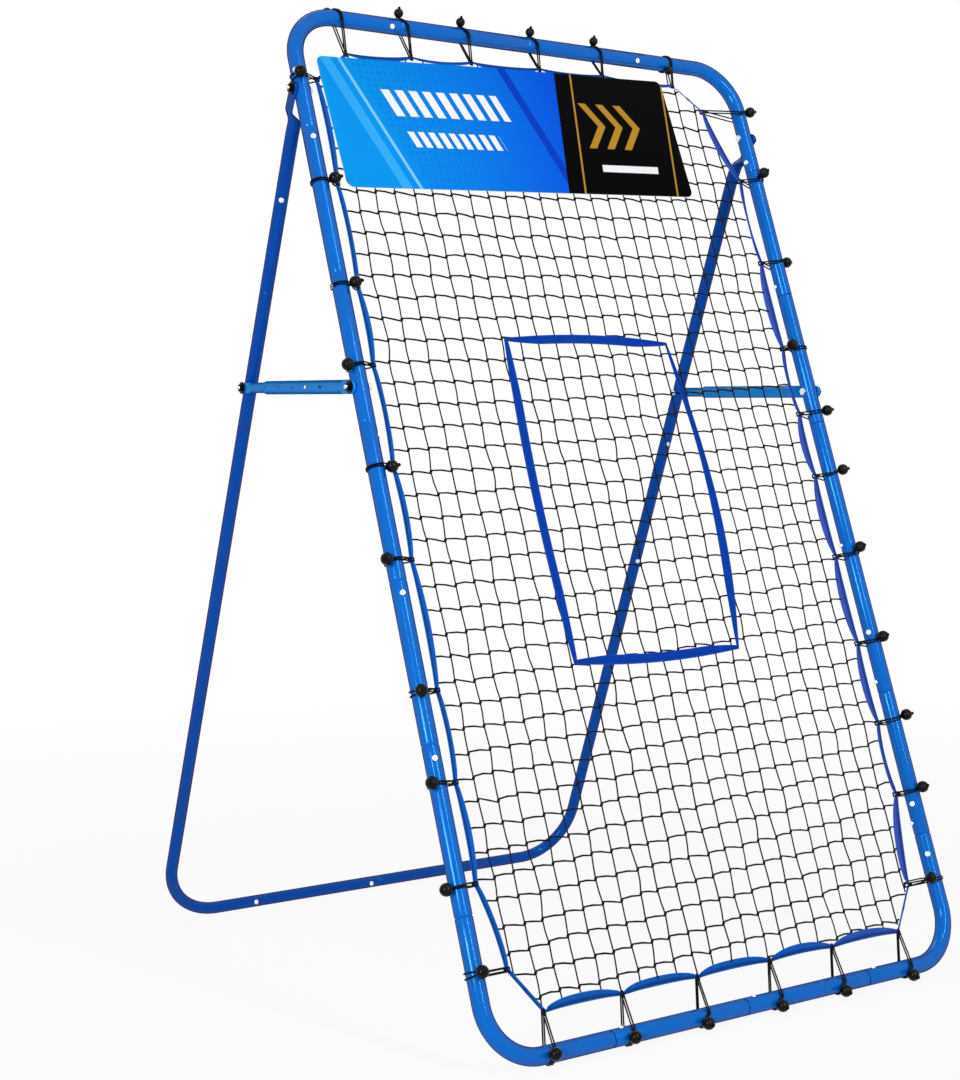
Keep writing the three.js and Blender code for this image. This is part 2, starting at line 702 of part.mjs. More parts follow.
// The net: crossing strands that end under the middle of the webbing all round
function netShape(outline) {
  const sewnTo = insetLine(outline, webbing / 2, true);
  const area = solid(flatPiece(sewnTo, [], -strand / 2 - overrun, strand / 2 + overrun));
  const box = new THREE.Box2().setFromPoints(sewnTo);
  const size = box.getSize(new THREE.Vector2());
  const middle = box.getCenter(new THREE.Vector2());
  const bars = [];
  for (let i = 1; i < netColumns; i += 1) {
    const x = box.min.x + (size.x * i) / netColumns;
    bars.push(new THREE.BoxGeometry(strand, strand, size.y).translate(x, 0, middle.y));
  }
  for (let i = 1; i < netRows; i += 1) {
    const up = box.min.y + (size.y * i) / netRows;
    bars.push(new THREE.BoxGeometry(size.x, strand, strand).translate(middle.x, 0, up));
  }
  return surface(united(bars).intersect(area));
}

// Points from one corner up to the next along a shallow bow to the left
function bowedLine(from, to, bulge) {
  const along = to.clone().sub(from).normalize();
  const outwards = new THREE.Vector2(-along.y, along.x);
  return Array.from({ length: curveSteps }, (_, i) => {
    const share = i / curveSteps;
    const rise = 4 * bulge * share * (1 - share);
    return from.clone().lerp(to, share).addScaledVector(outwards, rise);
  });
}

// The strike zone: a ring of webbing whose edges bow outwards
function targetShape(back) {
  const ring = (inset) => {
    const half = targetWidth / 2 - inset;
    const tall = targetHeight / 2 - inset;
    const corners = [[-half, -tall], [-half, tall], [half, tall], [half, -tall]];
    const bulges = [targetBulgeLeft, targetBulgeEnds, targetBulgeRight, targetBulgeEnds];
    return corners.flatMap((corner, i) => {
      const from = new THREE.Vector2(...corner);
      const to = new THREE.Vector2(...corners[(i + 1) % corners.length]);
      return bowedLine(from, to, bulges[i]);
    });
  };
  const band = flatPiece(ring(0), [ring(webbing)], back - webbingThickness, back);
  return band.translate(targetX, 0, railUp / 2);
}

// The plain sign panel in front of the net's top
function signShape() {
  const [half, tall] = [railX - (signGapLeft + signGapRight) / 2, signHeight / 2];
  const shape = new THREE.Shape();
  shape.moveTo(signCorner - half, -tall);
  shape.absarc(half - signCorner, signCorner - tall, signCorner, -Math.PI / 2, 0);
  shape.absarc(half - signCorner, tall - signCorner, signCorner, 0, Math.PI / 2);
  shape.absarc(signCorner - half, tall - signCorner, signCorner, Math.PI / 2, Math.PI);
  shape.absarc(signCorner - half, signCorner - tall, signCorner, Math.PI, 1.5 * Math.PI);
  const settings = { depth: signThickness, bevelEnabled: false, curveSegments: curveSteps };
  const panel = new THREE.ExtrudeGeometry(shape, settings).rotateX(Math.PI / 2).rotateY(signTurn);
  const middle = (signGapLeft - signGapRight) / 2;
  return panel.translate(middle, clothFront - seatGap, railUp - signBelowTop);
}

const model = new THREE.Group();
model.add(frontFrame(), rearFrame(), strutGroup(LEFT), strutGroup(RIGHT), netGroup());

// The origin is on the floor, under the middle of the part
const reach = new THREE.Box3().setFromObject(model, true);
const centre = reach.getCenter(new THREE.Vector3());
model.position.set(-centre.x, -centre.y, -reach.min.z);

export default model;
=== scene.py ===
"""The looks of a rebounder net, laid out as an add-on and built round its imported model."""

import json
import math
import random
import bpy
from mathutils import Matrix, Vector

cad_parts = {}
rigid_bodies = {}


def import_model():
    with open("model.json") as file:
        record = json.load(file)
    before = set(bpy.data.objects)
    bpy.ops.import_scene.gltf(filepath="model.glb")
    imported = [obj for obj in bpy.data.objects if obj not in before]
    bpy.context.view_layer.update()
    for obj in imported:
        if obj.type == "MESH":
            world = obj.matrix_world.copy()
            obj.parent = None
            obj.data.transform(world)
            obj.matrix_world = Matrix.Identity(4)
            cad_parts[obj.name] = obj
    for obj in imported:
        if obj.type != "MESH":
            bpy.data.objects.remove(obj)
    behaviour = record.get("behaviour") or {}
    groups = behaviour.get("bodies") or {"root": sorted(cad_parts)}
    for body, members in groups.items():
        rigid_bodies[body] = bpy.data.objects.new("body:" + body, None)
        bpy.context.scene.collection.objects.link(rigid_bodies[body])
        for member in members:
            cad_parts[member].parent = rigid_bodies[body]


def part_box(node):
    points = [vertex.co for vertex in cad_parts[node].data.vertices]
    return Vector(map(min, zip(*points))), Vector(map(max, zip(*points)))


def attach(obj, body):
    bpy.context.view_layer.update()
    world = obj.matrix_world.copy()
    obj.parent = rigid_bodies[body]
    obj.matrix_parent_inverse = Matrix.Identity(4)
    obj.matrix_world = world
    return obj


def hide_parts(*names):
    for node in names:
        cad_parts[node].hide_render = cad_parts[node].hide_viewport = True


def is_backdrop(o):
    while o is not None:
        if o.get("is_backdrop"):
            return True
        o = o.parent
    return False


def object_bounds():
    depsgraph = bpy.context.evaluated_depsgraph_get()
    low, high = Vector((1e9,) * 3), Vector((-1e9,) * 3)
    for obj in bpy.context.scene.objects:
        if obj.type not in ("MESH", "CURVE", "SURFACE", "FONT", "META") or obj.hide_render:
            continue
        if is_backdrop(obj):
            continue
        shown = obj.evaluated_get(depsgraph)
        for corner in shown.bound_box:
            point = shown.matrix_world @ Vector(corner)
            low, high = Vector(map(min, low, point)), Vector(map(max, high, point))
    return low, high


bl_info = {
    "name": "Rebounder Net",
    "version": (1, 0, 0),
    "blender": (4, 5, 0),
    "location": "3D View > Sidebar > Rebounder",
    "description": "Models the tubes, struts, bolts, net, webbing, ties and sign of a rebounder net",
    "category": "Add Mesh",
}

import bmesh
import bpy
from bpy.props import FloatProperty, FloatVectorProperty, IntProperty, PointerProperty
from mathutils import Matrix, Vector

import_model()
cad_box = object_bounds()

MM = 0.001
X_AXIS = Vector((1, 0, 0))
LEFT = -1
RIGHT = 1
SIDE_NAMES = {LEFT: "left", RIGHT: "right"}

# Tubes
RAIL_RADIUS = 17 * MM
RAIL_BEND = 107 * MM
RAIL_ARM = 264 * MM
RAIL_SIDE_TUBES = 5
LEG_RADIUS = 14 * MM
LEG_BEND = 138 * MM
LEG_ARM = 264 * MM
LEG_TUBES = 4
END_TUBES = 2
TUBE_WALL = 1.5 * MM
SWAGE_GAP = 0.3 * MM
SWAGE_LENGTH = 45 * MM
SHOULDER = 3 * MM
MOUTH_ROUND = 0.4 * MM
TUBE_SIDES = 48
BEND_STEPS = 24

# Leg tops, crushed flat at the hinge
LEG_TOP = 424 * MM
KINK_LENGTH = 100 * MM
KINK_RADIUS = 150 * MM
KINK_ANGLE = math.radians(5)
TAB_THICKNESS = 6 * MM
TAB_FLAT = 44 * MM
TAB_BLEND = 26 * MM
BLEND_RINGS = 10
TIP_RINGS = 7

# Snap buttons
BUTTON_SETBACK = 25 * MM
# Which way each tube's button points: degrees from the front towards the net; the rest face back
BUTTON_TURNS = {
    "corner_top_left": 34,
    "top_tube_2": 34,
    "corner_top_right": 80,
    "side_tube_left_5": -18,
    "side_tube_left_4": -100,
    "side_tube_left_3": 60,
    "side_tube_left_2": -18,
    "side_tube_left_1": -18,
    **{f"side_tube_right_{i + 1}": 115 for i in range(RAIL_SIDE_TUBES)},
    "corner_bottom_right": 80,
    "bottom_tube_2": 80,
    "bottom_tube_1": 80,
    "rear_corner_left": 25,
    "rear_bottom_tube_1": 20,
    "leg_tube_right_2": 18,
    "leg_tube_right_3": 18,
}
HIDDEN_TURN = 165
# Round plugs on the side rails: side, height up the slope, and turn as above
PLUGS = ((LEFT, 1961 * MM, -50), (RIGHT, 713 * MM, 60), (RIGHT, 329 * MM, 62), (RIGHT, 219 * MM, 45))
BUTTON_CLEARANCE = 0.5 * MM
BUTTON_PROUD = 2.4 * MM
BUTTON_ROOT = 5 * MM

# Bolts
BOLT_RADIUS = 4 * MM
WASHER_RADIUS = 13 * MM
WASHER_THICKNESS = 2.5 * MM
NUT_RADIUS = 8.5 * MM
NUT_HEIGHT = 5.5 * MM
BOLT_END = 3.5 * MM
BOLT_PLAY = 0.4 * MM

# Struts
STRUT_RADIUS = 14 * MM
STRUT_WALL = 2.5 * MM
STRUT_FLAT = 30 * MM
STRUT_MOUTH_TO_BOLT = 93.4 * MM
STRUT_HOLES = 5
# The first and last hole, as shares of the outer tube's length from its bolt, and the number in use
STRUT_HOLE_SHARES = (0.3216, 0.9595)
STRUT_HOLE_IN_USE = 1
STRUT_HOLE_RADIUS = 3.4 * MM
# How far the button travels from the hole in use towards the first one, as far as the joint lets it
STRUT_SHORTEST = 56.9 * MM
INNER_FLAT = 16 * MM
INNER_BLEND = 15 * MM
INNER_TAB = 5 * MM
INNER_PAST = 25 * MM
INNER_OPEN = 7 * MM
STRUT_BUTTON_RADIUS = 3 * MM
STRUT_BUTTON_RISE = 3 * MM

# Where the ties meet the webbing, as shares of the side rails or of the end rails
TIES_LEFT_SHARES = (0.076, 0.152, 0.241, 0.324, 0.445, 0.534, 0.633, 0.712, 0.818, 0.928)
TIES_RIGHT_SHARES = (0.078, 0.169, 0.244, 0.329, 0.424, 0.514, 0.585, 0.66, 0.762, 0.861, 0.944)
TIES_TOP_SHARES = (-0.4, -0.264, -0.135, 0.019, 0.168, 0.34)
TIES_BOTTOM_SHARES = (-0.393, -0.24, -0.085, 0.073, 0.217, 0.379)
GAP_LEFT = 33 * MM
GAP_RIGHT = 45 * MM
GAPS_TOP = (80 * MM, 69 * MM, 62 * MM, 56 * MM, 52 * MM, 54 * MM)
GAP_NET_TOP = 52 * MM
GAP_BOTTOM = 72 * MM
GAP_LAST_LEFT = 64 * MM
GAP_LAST_RIGHT = 78 * MM
GAP_TOP_RIGHT = 110 * MM
# How far the webbing's outer edge bows in between ties, and its width as shares of its own:
# where a tie gathers it, and in the middle between two ties
BOWS = {"left": 4 * MM, "top": 5 * MM, "right": 6 * MM, "bottom": 3 * MM}
WIDTH_SHARES = {"left": (0.3, 0.64), "top": (0.28, 0.6), "right": (0.55, 0.92), "bottom": (0.24, 0.96)}
CORNER_WIDTH_SHARE = 0.34
# How far a ball sits along the rail from its hem knot, and how far a tie's two pairs of cord spread
TIE_SKEWS = {"left": 0, "top": 14 * MM, "right": 9 * MM, "bottom": -14 * MM}
TIE_SPREADS = {
    "left": (2.1 * MM, 5.2 * MM),
    "top": (3.2 * MM, 4.2 * MM),
    "right": (2.1 * MM, 5.2 * MM),
    "bottom": (3.6 * MM, 3.0 * MM),
}
# How far apart a tie's cords lie at the hem, how far they reach past its narrow band, and a top ball's size
TIE_APART = {"left": 3.6 * MM, "top": 1.3 * MM, "right": 3.6 * MM, "bottom": 1.3 * MM}
TIE_PAST_BAND = 3 * MM
TOP_BALL_SHARE = 0.8
# Where a tie's cords start beside its knots, how far its ball strays along the rail and sinks on them
CORD_START = 1.2 * MM
TIE_STRAY = 5 * MM
BALL_SUNK = 2 * MM
# Heights of the cords over and under the webbing: a ball nearer to the net than this is on the inside
OVER_WEBBING = 5.2 * MM
UNDER_WEBBING = 0.2 * MM
BALL_INSIDE = math.radians(60)
# Where each ball sits round its rail: 180 is outside, 90 is in front, 0 is towards the net
BALLS = {
    "left": (95, 165, 140, 115, 145, 35, 150, 40, 40, 115),
    "right": (35, 100, 145, 95, 95, 150, 155, 25, 175, 95, 160),
    "top": (215, 145, 140, 140, 145, 30),
    "bottom": (92, 100, 113, 115, 117, 120),
}

# Webbing, target and sign
WEBBING_THICKNESS = 1.4 * MM
CLOTH_DEPTH = 2.8 * MM
SPAN_STEPS = 18
WEB_STEPS = 10
# How far the webbing twists between two ties, and between the target's corners, in radians
HEM_LEAN = 0.55
TARGET_LEAN = 0.3
# The webbing's pleats at a tie, and the roll of its inner edge, which starts at this share of its width
PLEAT = 1.6 * MM
ROLL = 0.9 * MM
ROLL_FROM = 0.8
TARGET_SIZE = (430 * MM, 690 * MM)
TARGET_X = -16 * MM
TARGET_BULGES = (14 * MM, 12 * MM, 38 * MM, 12 * MM)
SIGN_HEIGHT = 293 * MM
SIGN_GAPS = (49 * MM, 223 * MM)
SIGN_BELOW_TOP = 222 * MM
SIGN_TURN = math.radians(-2.8)
SIGN_CORNER = 16 * MM
SIGN_THICKNESS = 2 * MM
SIGN_DEPTH = 6.7 * MM
SIGN_WAVE = 1.6 * MM
SIGN_STRIPS = 24

# Net: how far its knots stray, and how far in from the webbing its bow still draws the meshes
KNOT_STRAY = (1.3 * MM, 1.2 * MM, 0.5 * MM)
DRAWN_SIDE = 55 * MM
DRAWN_END = 80 * MM
# A knot leans: the level strand climbs by this from one end of it to its middle
KNOT_STEP = Vector((1.8 * MM, 3 * MM, 0))
# The net hangs a little askew: its rows climb to the right, and more so at the right end
NET_CLIMB = 0.05
NET_CLIMB_GROWTH = 0.02
# A knot's thicknesses as shares of its length, and where the net is sewn across the webbing
KNOT_SHAPE = (0.7, 0.55, 1, 1)
SEWN_AT = 0.55
# Cord widths of the upright and the level strands, as shares of the twine's
UPRIGHT_SHARE = 0.86
LEVEL_SHARE = 1.08

# The photograph's camera
LENS = 60.473
SENSOR = 36.0
CAMERA_PLACE = Vector((-2.35467, -3.30502, 1.08153))
CAMERA_YAW = -0.5903
CAMERA_PITCH = -0.041
CAMERA_ROLL = -0.0179


def middle(node):
    """The middle of a CAD node's box."""
    low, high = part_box(node)
    return (low + high) / 2


# The front frame's plane: x across, up the slope, and out towards the player
RAIL_FOOT = middle("bottom_tube_1")
RAIL_HEAD = middle("top_tube_1")
CENTRE_X = (middle("side_tube_left_3").x + middle("side_tube_right_3").x) / 2
RAIL_X = (middle("side_tube_right_3").x - middle("side_tube_left_3").x) / 2
SLOPE = Vector((0, RAIL_HEAD.y - RAIL_FOOT.y, RAIL_HEAD.z - RAIL_FOOT.z))
RISE = SLOPE.length
SLOPE.normalize()
OUT = X_AXIS.cross(SLOPE)

# The rear frame: up its straight legs, and back from them
LEG_FOOT = middle("rear_bottom_tube_1")
LEG_FOOT.z = LEG_RADIUS
LEG_X = (middle("leg_tube_right_2").x - middle("leg_tube_left_2").x) / 2
LEG_UP = (middle("leg_tube_left_1") - middle("leg_tube_left_3")).normalized()
BACK = LEG_UP.cross(X_AXIS)
HINGE = middle("hinge_bolt_left")
HINGE_UP = (HINGE - LEG_FOOT).dot(LEG_UP)


def on_plane(x, up, out=0.0):
    """A point on the front frame's middle plane, or in front of it by out."""
    return Vector((CENTRE_X + x, RAIL_FOOT.y, RAIL_FOOT.z)) + SLOPE * up + OUT * out


def on_leg(x, up, back=0.0):
    """A point on the plane through the legs, up from the bottom tube, or behind it by back."""
    return Vector((CENTRE_X + x, LEG_FOOT.y, LEG_FOOT.z)) + LEG_UP * up + BACK * back


def placing(origin, x_way, y_way, z_way):
    """The matrix that takes a shape's own axes to these directions at this origin."""
    matrix = Matrix((x_way, y_way, z_way)).transposed().to_4x4()
    matrix.translation = origin
    return matrix


def length(label, told, size):
    """A size setting in metres."""
    return FloatProperty(name=label, description=told, default=size, unit="LENGTH")


class RebounderSizes(bpy.types.PropertyGroup):
    """Sizes that a user would change."""

    net_columns: IntProperty(name="Net columns", description="Meshes across the net", default=24)
    net_rows: IntProperty(name="Net rows", description="Meshes up the net", default=43)
    twine: length("Twine", "Diameter of the net's twine", 3.6 * MM)
    knot: length("Knot", "Length of a knot of the net", 12 * MM)
    cord: length("Cord", "Diameter of the ties' elastic cord", 3.2 * MM)
    ball: length("Ball", "Diameter of the ties' balls", 25 * MM)
    webbing: length("Webbing", "Width of the webbing", 20 * MM)
    button: length("Snap button", "Diameter of a snap button", 11 * MM)


def linear(code):
    """A colour in linear light from its sRGB hex code."""
    parts = [int(code[i : i + 2], 16) / 255 for i in (1, 3, 5)]
    return tuple(c / 12.92 if c <= 0.04045 else ((c + 0.055) / 1.055) ** 2.4 for c in parts)


def colour(label, told, code):
    """A colour setting with its default from a hex code."""
    return FloatVectorProperty(
        name=label, description=told, default=linear(code), subtype="COLOR", min=0.0, max=1.0
    )


class RebounderColours(bpy.types.PropertyGroup):
    """Colours that a user would change."""

    rail: colour("Front frame", "Powder coat of the front frame", "#0062C6")
    # Painted light: the struts wear the front frame's paint, painted lighter
    strut: colour("Struts", "Powder coat of the struts", "#1492F0")
    # Painted shade: the rear frame wears the front frame's paint, painted darker
    leg: colour("Rear frame", "Powder coat of the rear frame", "#0445A8")
    webbing: colour("Hem", "Webbing round the net", "#0A5AB8")
    # Painted light: the hem's colour on its right side, lighter and more violet
    webbing_right_painted_light: colour("Hem, right", "Webbing towards the right side", "#3C54B8")
    target: colour("Target", "Webbing of the target", "#003CA6")
    twine: colour("Net", "Twine of the net", "#040405")
    cord: colour("Ties", "Elastic cord and balls", "#060607")
    sign_near: colour("Sign, left", "Sign's left end", "#0A93EA")
    sign_far: colour("Sign, middle", "Sign's middle", "#0A54E0")
    sign_dark: colour("Sign, right", "Sign's dark field", "#020202")


def feed(tree, node, inputs):
    """Sets a node's inputs to values, and links those that are given a socket."""
    for name, value in inputs.items():
        if isinstance(value, bpy.types.NodeSocket):
            tree.links.new(value, node.inputs[name])
        else:
            node.inputs[name].default_value = value
    return node


def add_node(tree, kind, inputs=None, **settings):
    """Adds a shader node: settings are its own, inputs are values or sockets to link."""
    made = tree.nodes.new("ShaderNode" + kind)
    for name, value in settings.items():
        setattr(made, name, value)
    return feed(tree, made, inputs or {})


def new_material(name):
    """An empty material, and its tree."""
    material = bpy.data.materials.new(name)
    material.use_nodes = True
    material.node_tree.nodes.clear()
    return material, material.node_tree


def opaque(rgb):
    """A colour setting as the four numbers a colour socket takes."""
    return (*rgb, 1.0)


def darker(rgb, share):
    """A colour setting times a share, as the four numbers a colour socket takes."""
    return opaque([channel * share for channel in rgb])


def mixed(tree, factor, first, second):
    """The socket of a colour mix."""
    mix = add_node(tree, "Mix", {0: factor, 6: first, 7: second}, data_type="RGBA")
    return mix.outputs[2]


def computed(tree, operation, first, second=0.0):
    """The socket of a sum done on two numbers."""
    return add_node(tree, "Math", {0: first, 1: second}, operation=operation).outputs[0]


def product(tree, first, *others):
    """The socket of several numbers multiplied."""
    for other in others:
        first = computed(tree, "MULTIPLY", first, other)
    return first


def distance_from(tree, value, mark):
    """The socket of how far a number is from a mark, on either side of it."""
    return computed(tree, "ABSOLUTE", computed(tree, "SUBTRACT", value, mark))


def ranged(tree, value, low, high, start=0.0, end=1.0):
    """The socket of a number that goes from low to high while another goes from start to end."""
    return add_node(tree, "MapRange", {0: value, 1: start, 2: end, 3: low, 4: high}).outputs[0]


def relief(tree, height, strength, depth):
    """The socket of a surface's direction with small bumps on it."""
    bump = add_node(tree, "Bump", {"Strength": strength, "Distance": depth, "Height": height})
    return bump.outputs[0]


def object_place(tree):
    """The socket of a point's place in metres, before any joint moves it."""
    return add_node(tree, "TexCoord").outputs["Object"]


def unrolled(tree):
    """The sockets of a UV map in metres: along a piece, and across or round it."""
    run = add_node(tree, "UVMap", uv_map="UVMap").outputs[0]
    parts = add_node(tree, "SeparateXYZ", {0: run}).outputs
    return parts[0], parts[1]


def waves(tree, value, size):
    """The socket of a sine wave of that length."""
    return computed(tree, "SINE", product(tree, value, 2 * math.pi / size))


def speckle(tree, place, size, detail=2.0):
    """The socket of a noise whose grains have a real size."""
    noise = add_node(tree, "TexNoise", {"Vector": place, "Scale": 1 / size, "Detail": detail})
    return noise.outputs["Fac"]


def powder_coat(tree, rgb, shine):
    """Gloss polyester powder on steel: a narrow stripe of light, edges darkened with painted shade, pebbled
    like orange peel.
    """
    place = object_place(tree)
    body = mixed(tree, speckle(tree, place, 70 * MM), darker(rgb, 0.9), darker(rgb, 1.1))
    # Painted shade: the base colour darkens towards the tube's edges, where they turn away from the view
    facing = add_node(tree, "LayerWeight", {"Blend": 0.5}).outputs["Facing"]
    painted_edge_shade = computed(tree, "POWER", facing, 2.0)
    return {
        "Base Color": mixed(tree, painted_edge_shade, body, darker(rgb, 0.18)),
        "Roughness": ranged(tree, speckle(tree, place, 12 * MM), 0.13, 0.18),
        # Real orange peel is about 1 mm across and is drawn at 3 mm, so that it shows
        "Normal": relief(tree, speckle(tree, place, 3 * MM), 0.05, 0.2 * MM),
        "IOR": 1.5,
        "Specular IOR Level": ranged(tree, facing, shine, 0.0, 0.3, 0.65),
        "Specular Tint": opaque(linear("#70D0FF")),
    }


def plated_steel(tree, rgb, rough_low, rough_high):
    """Plated or blackened steel: metallic, smeared with finer and coarser patches."""
    place = object_place(tree)
    patches = speckle(tree, place, 4 * MM, 4.0)
    return {
        "Base Color": mixed(tree, patches, darker(rgb, 0.75), darker(rgb, 1.15)),
        "Roughness": ranged(tree, patches, rough_low, rough_high),
        "Normal": relief(tree, speckle(tree, place, 0.8 * MM), 0.15, 0.1 * MM),
        "Metallic": 1.0,
    }


def twisted_twine(tree, rgb):
    """Twisted polyethylene twine: matt black with a little lustre and slanting plies."""
    # Plies slant across the strand every 3 mm
    bands = {"Vector": object_place(tree), "Scale": 1 / (20 * 3 * MM), "Distortion": 1.0}
    plies = add_node(tree, "TexWave", bands, bands_direction="DIAGONAL").outputs["Fac"]
    return {
        "Base Color": mixed(tree, plies, darker(rgb, 0.6), darker(rgb, 1.9)),
        "Normal": relief(tree, plies, 0.5, 0.4 * MM),
        "Roughness": 0.62,
        "Specular IOR Level": 0.12,
    }


def elastic_cord(tree, rgb):
    """Braided sleeve of an elastic cord: black with small diamonds of lustre."""
    along, round_it = unrolled(tree)
    # The braid's diamonds are 1.6 mm long on an unrolled sleeve
    one = waves(tree, computed(tree, "ADD", along, round_it), 1.6 * MM)
    other = waves(tree, computed(tree, "SUBTRACT", along, round_it), 1.6 * MM)
    braid = computed(tree, "MULTIPLY_ADD", product(tree, one, other), 0.5)
    return {
        "Base Color": mixed(tree, braid, darker(rgb, 0.7), darker(rgb, 2.2)),
        "Normal": relief(tree, braid, 0.4, 0.3 * MM),
        "Roughness": 0.5,
        "Specular IOR Level": 0.08,
    }


def moulded_ball(tree, rgb):
    """Gloss moulded plastic: small hard lights over black, with faint flow marks."""
    flow = speckle(tree, object_place(tree), 6 * MM)
    return {
        "Base Color": mixed(tree, flow, darker(rgb, 0.8), darker(rgb, 1.5)),
        "Roughness": ranged(tree, flow, 0.12, 0.2),
        "IOR": 1.54,
        "Specular IOR Level": 0.12,
    }


def woven_webbing(tree, rgb, far_rgb, outer_share):
    """Woven polypropylene tape: fine ribs across it, a firm selvedge and a row of stitches."""
    along, across = unrolled(tree)
    # Ribs 1.6 mm apart each way, and every second one is shifted by half
    ribs = product(tree, waves(tree, along, 1.6 * MM), waves(tree, across, 1.6 * MM))
    weave = product(tree, computed(tree, "ADD", ribs, 1.0), 0.5)
    place = object_place(tree)
    # Painted light: the hem turns to a lighter, more violet blue towards the right, standing in for how
    # light falls there
    towards = ranged(tree, add_node(tree, "SeparateXYZ", {0: place}).outputs[0], 0.0, 1.0, 0.15, 0.5)
    body = mixed(tree, towards, opaque(rgb), opaque(far_rgb))
    cloud = ranged(tree, speckle(tree, place, 25 * MM), 0.8, 1.2)
    ridges = ranged(tree, weave, 0.86, 1.1)
    # A hem is folded over, and its outer half lies in the fold's shade
    width = bpy.context.scene.rebounder_sizes.webbing
    fold = ranged(tree, across, outer_share, 1.0, 0.3 * width, 0.6 * width)
    shade = product(tree, cloud, ridges, fold)
    tinted = add_node(tree, "HueSaturation", {"Value": shade, "Color": body}).outputs[0]
    # Stitches 3 mm long, 2.4 mm in from the edge, in a lighter thread
    row = computed(tree, "LESS_THAN", distance_from(tree, across, 2.4 * MM), 0.4 * MM)
    thread = product(tree, repeated(tree, along, 0.0, 3 * MM, 0.62), row)
    lighter = opaque([min(1.0, channel * 1.5 + 0.015) for channel in rgb])
    # The selvedges at both edges catch more light than the folded middle does
    selvedge = computed(tree, "GREATER_THAN", distance_from(tree, across, width / 2), 0.41 * width)
    sewn = mixed(tree, thread, tinted, lighter)
    return {
        "Base Color": mixed(tree, product(tree, selvedge, 0.55), sewn, lighter),
        "Normal": relief(tree, computed(tree, "ADD", weave, thread), 0.45, 0.35 * MM),
        "Roughness": 0.68,
        "Specular IOR Level": 0.08,
    }


def between(tree, value, low, high):
    """The socket that is 1 where a number lies between two others, and 0 elsewhere."""
    above = computed(tree, "GREATER_THAN", value, low)
    return product(tree, above, computed(tree, "LESS_THAN", value, high))


def repeated(tree, value, start, pitch, share):
    """The socket that is 1 on the first share of each step of a ruler, and 0 on the rest."""
    steps = computed(tree, "DIVIDE", computed(tree, "SUBTRACT", value, start), pitch)
    return computed(tree, "LESS_THAN", computed(tree, "FRACT", steps), share)


def dotted(tree, across, up, pitch, radius):
    """The socket that is 1 inside a grid of round dots, whose radius is a share of their pitch."""
    squares = []
    for line in (across, up):
        steps = computed(tree, "FRACT", computed(tree, "DIVIDE", line, pitch))
        offset = computed(tree, "SUBTRACT", steps, 0.5)
        squares.append(product(tree, offset, offset))
    far = computed(tree, "SQRT", computed(tree, "ADD", *squares))
    return computed(tree, "LESS_THAN", far, radius)


def printed_board(tree, near_rgb, far_rgb, dark_rgb):
    """Satin print on a plastic board: a blue blend with leaning bars, and a dark field with arrows."""
    across, up = unrolled(tree)
    gold = opaque(linear("#B98A2E"))
    white = opaque(linear("#F2F5F8"))
    field = mixed(tree, ranged(tree, across, 0.0, 1.0, 0.1, 0.6), opaque(near_rgb), opaque(far_rgb))
    # Leaning shapes are told by how far a point lies along a leaning ruler, in metres
    ruler = computed(tree, "ADD", across, product(tree, up, 0.42))
    for start, end, code in ((0.13, 0.155, "#35A9F2"), (0.172, 0.18, "#7CC8F7"), (0.57, 0.592, "#0A3FC0")):
        field = mixed(tree, between(tree, ruler, start, end), field, opaque(linear(code)))
    # Dots 15 mm apart that shrink to nothing towards the middle of the board
    dots = dotted(tree, across, up, 15 * MM, ranged(tree, ruler, 0.36, 0.0, 0.2, 0.56))
    faint = product(tree, dots, between(tree, ruler, 0.2, 0.56), 0.4)
    field = mixed(tree, faint, field, opaque(linear("#0A6AE0")))
    # Rows of white bars that lean with the ruler: low and high edge, end, pitch
    for low, high, end, pitch in ((0.165, 0.225, 0.52, 0.034), (0.095, 0.13, 0.46, 0.0255)):
        row = product(tree, between(tree, up, low, high), between(tree, ruler, 0.23, end))
        bars = product(tree, row, repeated(tree, ruler, 0.23, pitch, 0.6))
        field = mixed(tree, bars, field, white)
    # The dark field's edge leans less than the bars do
    edge = computed(tree, "SUBTRACT", across, product(tree, up, 0.16))
    field = mixed(tree, computed(tree, "GREATER_THAN", edge, 0.557), field, opaque(dark_rgb))
    # Three chevrons on the dark field, and a white line under them
    bent = distance_from(tree, up, 0.57 * SIGN_HEIGHT)
    tips = computed(tree, "ADD", across, product(tree, bent, 0.75))
    arrows = product(tree, repeated(tree, tips, 0.69, 0.05, 0.42), between(tree, tips, 0.69, 0.84))
    arrows = product(tree, arrows, computed(tree, "LESS_THAN", bent, 0.055))
    field = mixed(tree, arrows, field, gold)
    line = product(tree, between(tree, up, 0.055, 0.072), between(tree, edge, 0.66, 0.82))
    field = mixed(tree, line, field, white)
    for start in (0.6, 0.865):
        field = mixed(tree, between(tree, edge, start, start + 0.005), field, gold)
    place = object_place(tree)
    return {
        "Base Color": field,
        "Roughness": ranged(tree, speckle(tree, place, 30 * MM), 0.45, 0.58),
        "Normal": relief(tree, speckle(tree, place, 3 * MM), 0.08, 0.2 * MM),
        "Specular IOR Level": 0.02,
    }


def board_core(tree, pale):
    """The board's sawn edge: pale plastic with fine saw marks."""
    marks = speckle(tree, object_place(tree), 2 * MM)
    return {"Base Color": mixed(tree, marks, darker(pale, 0.85), opaque(pale)), "Roughness": 0.6}


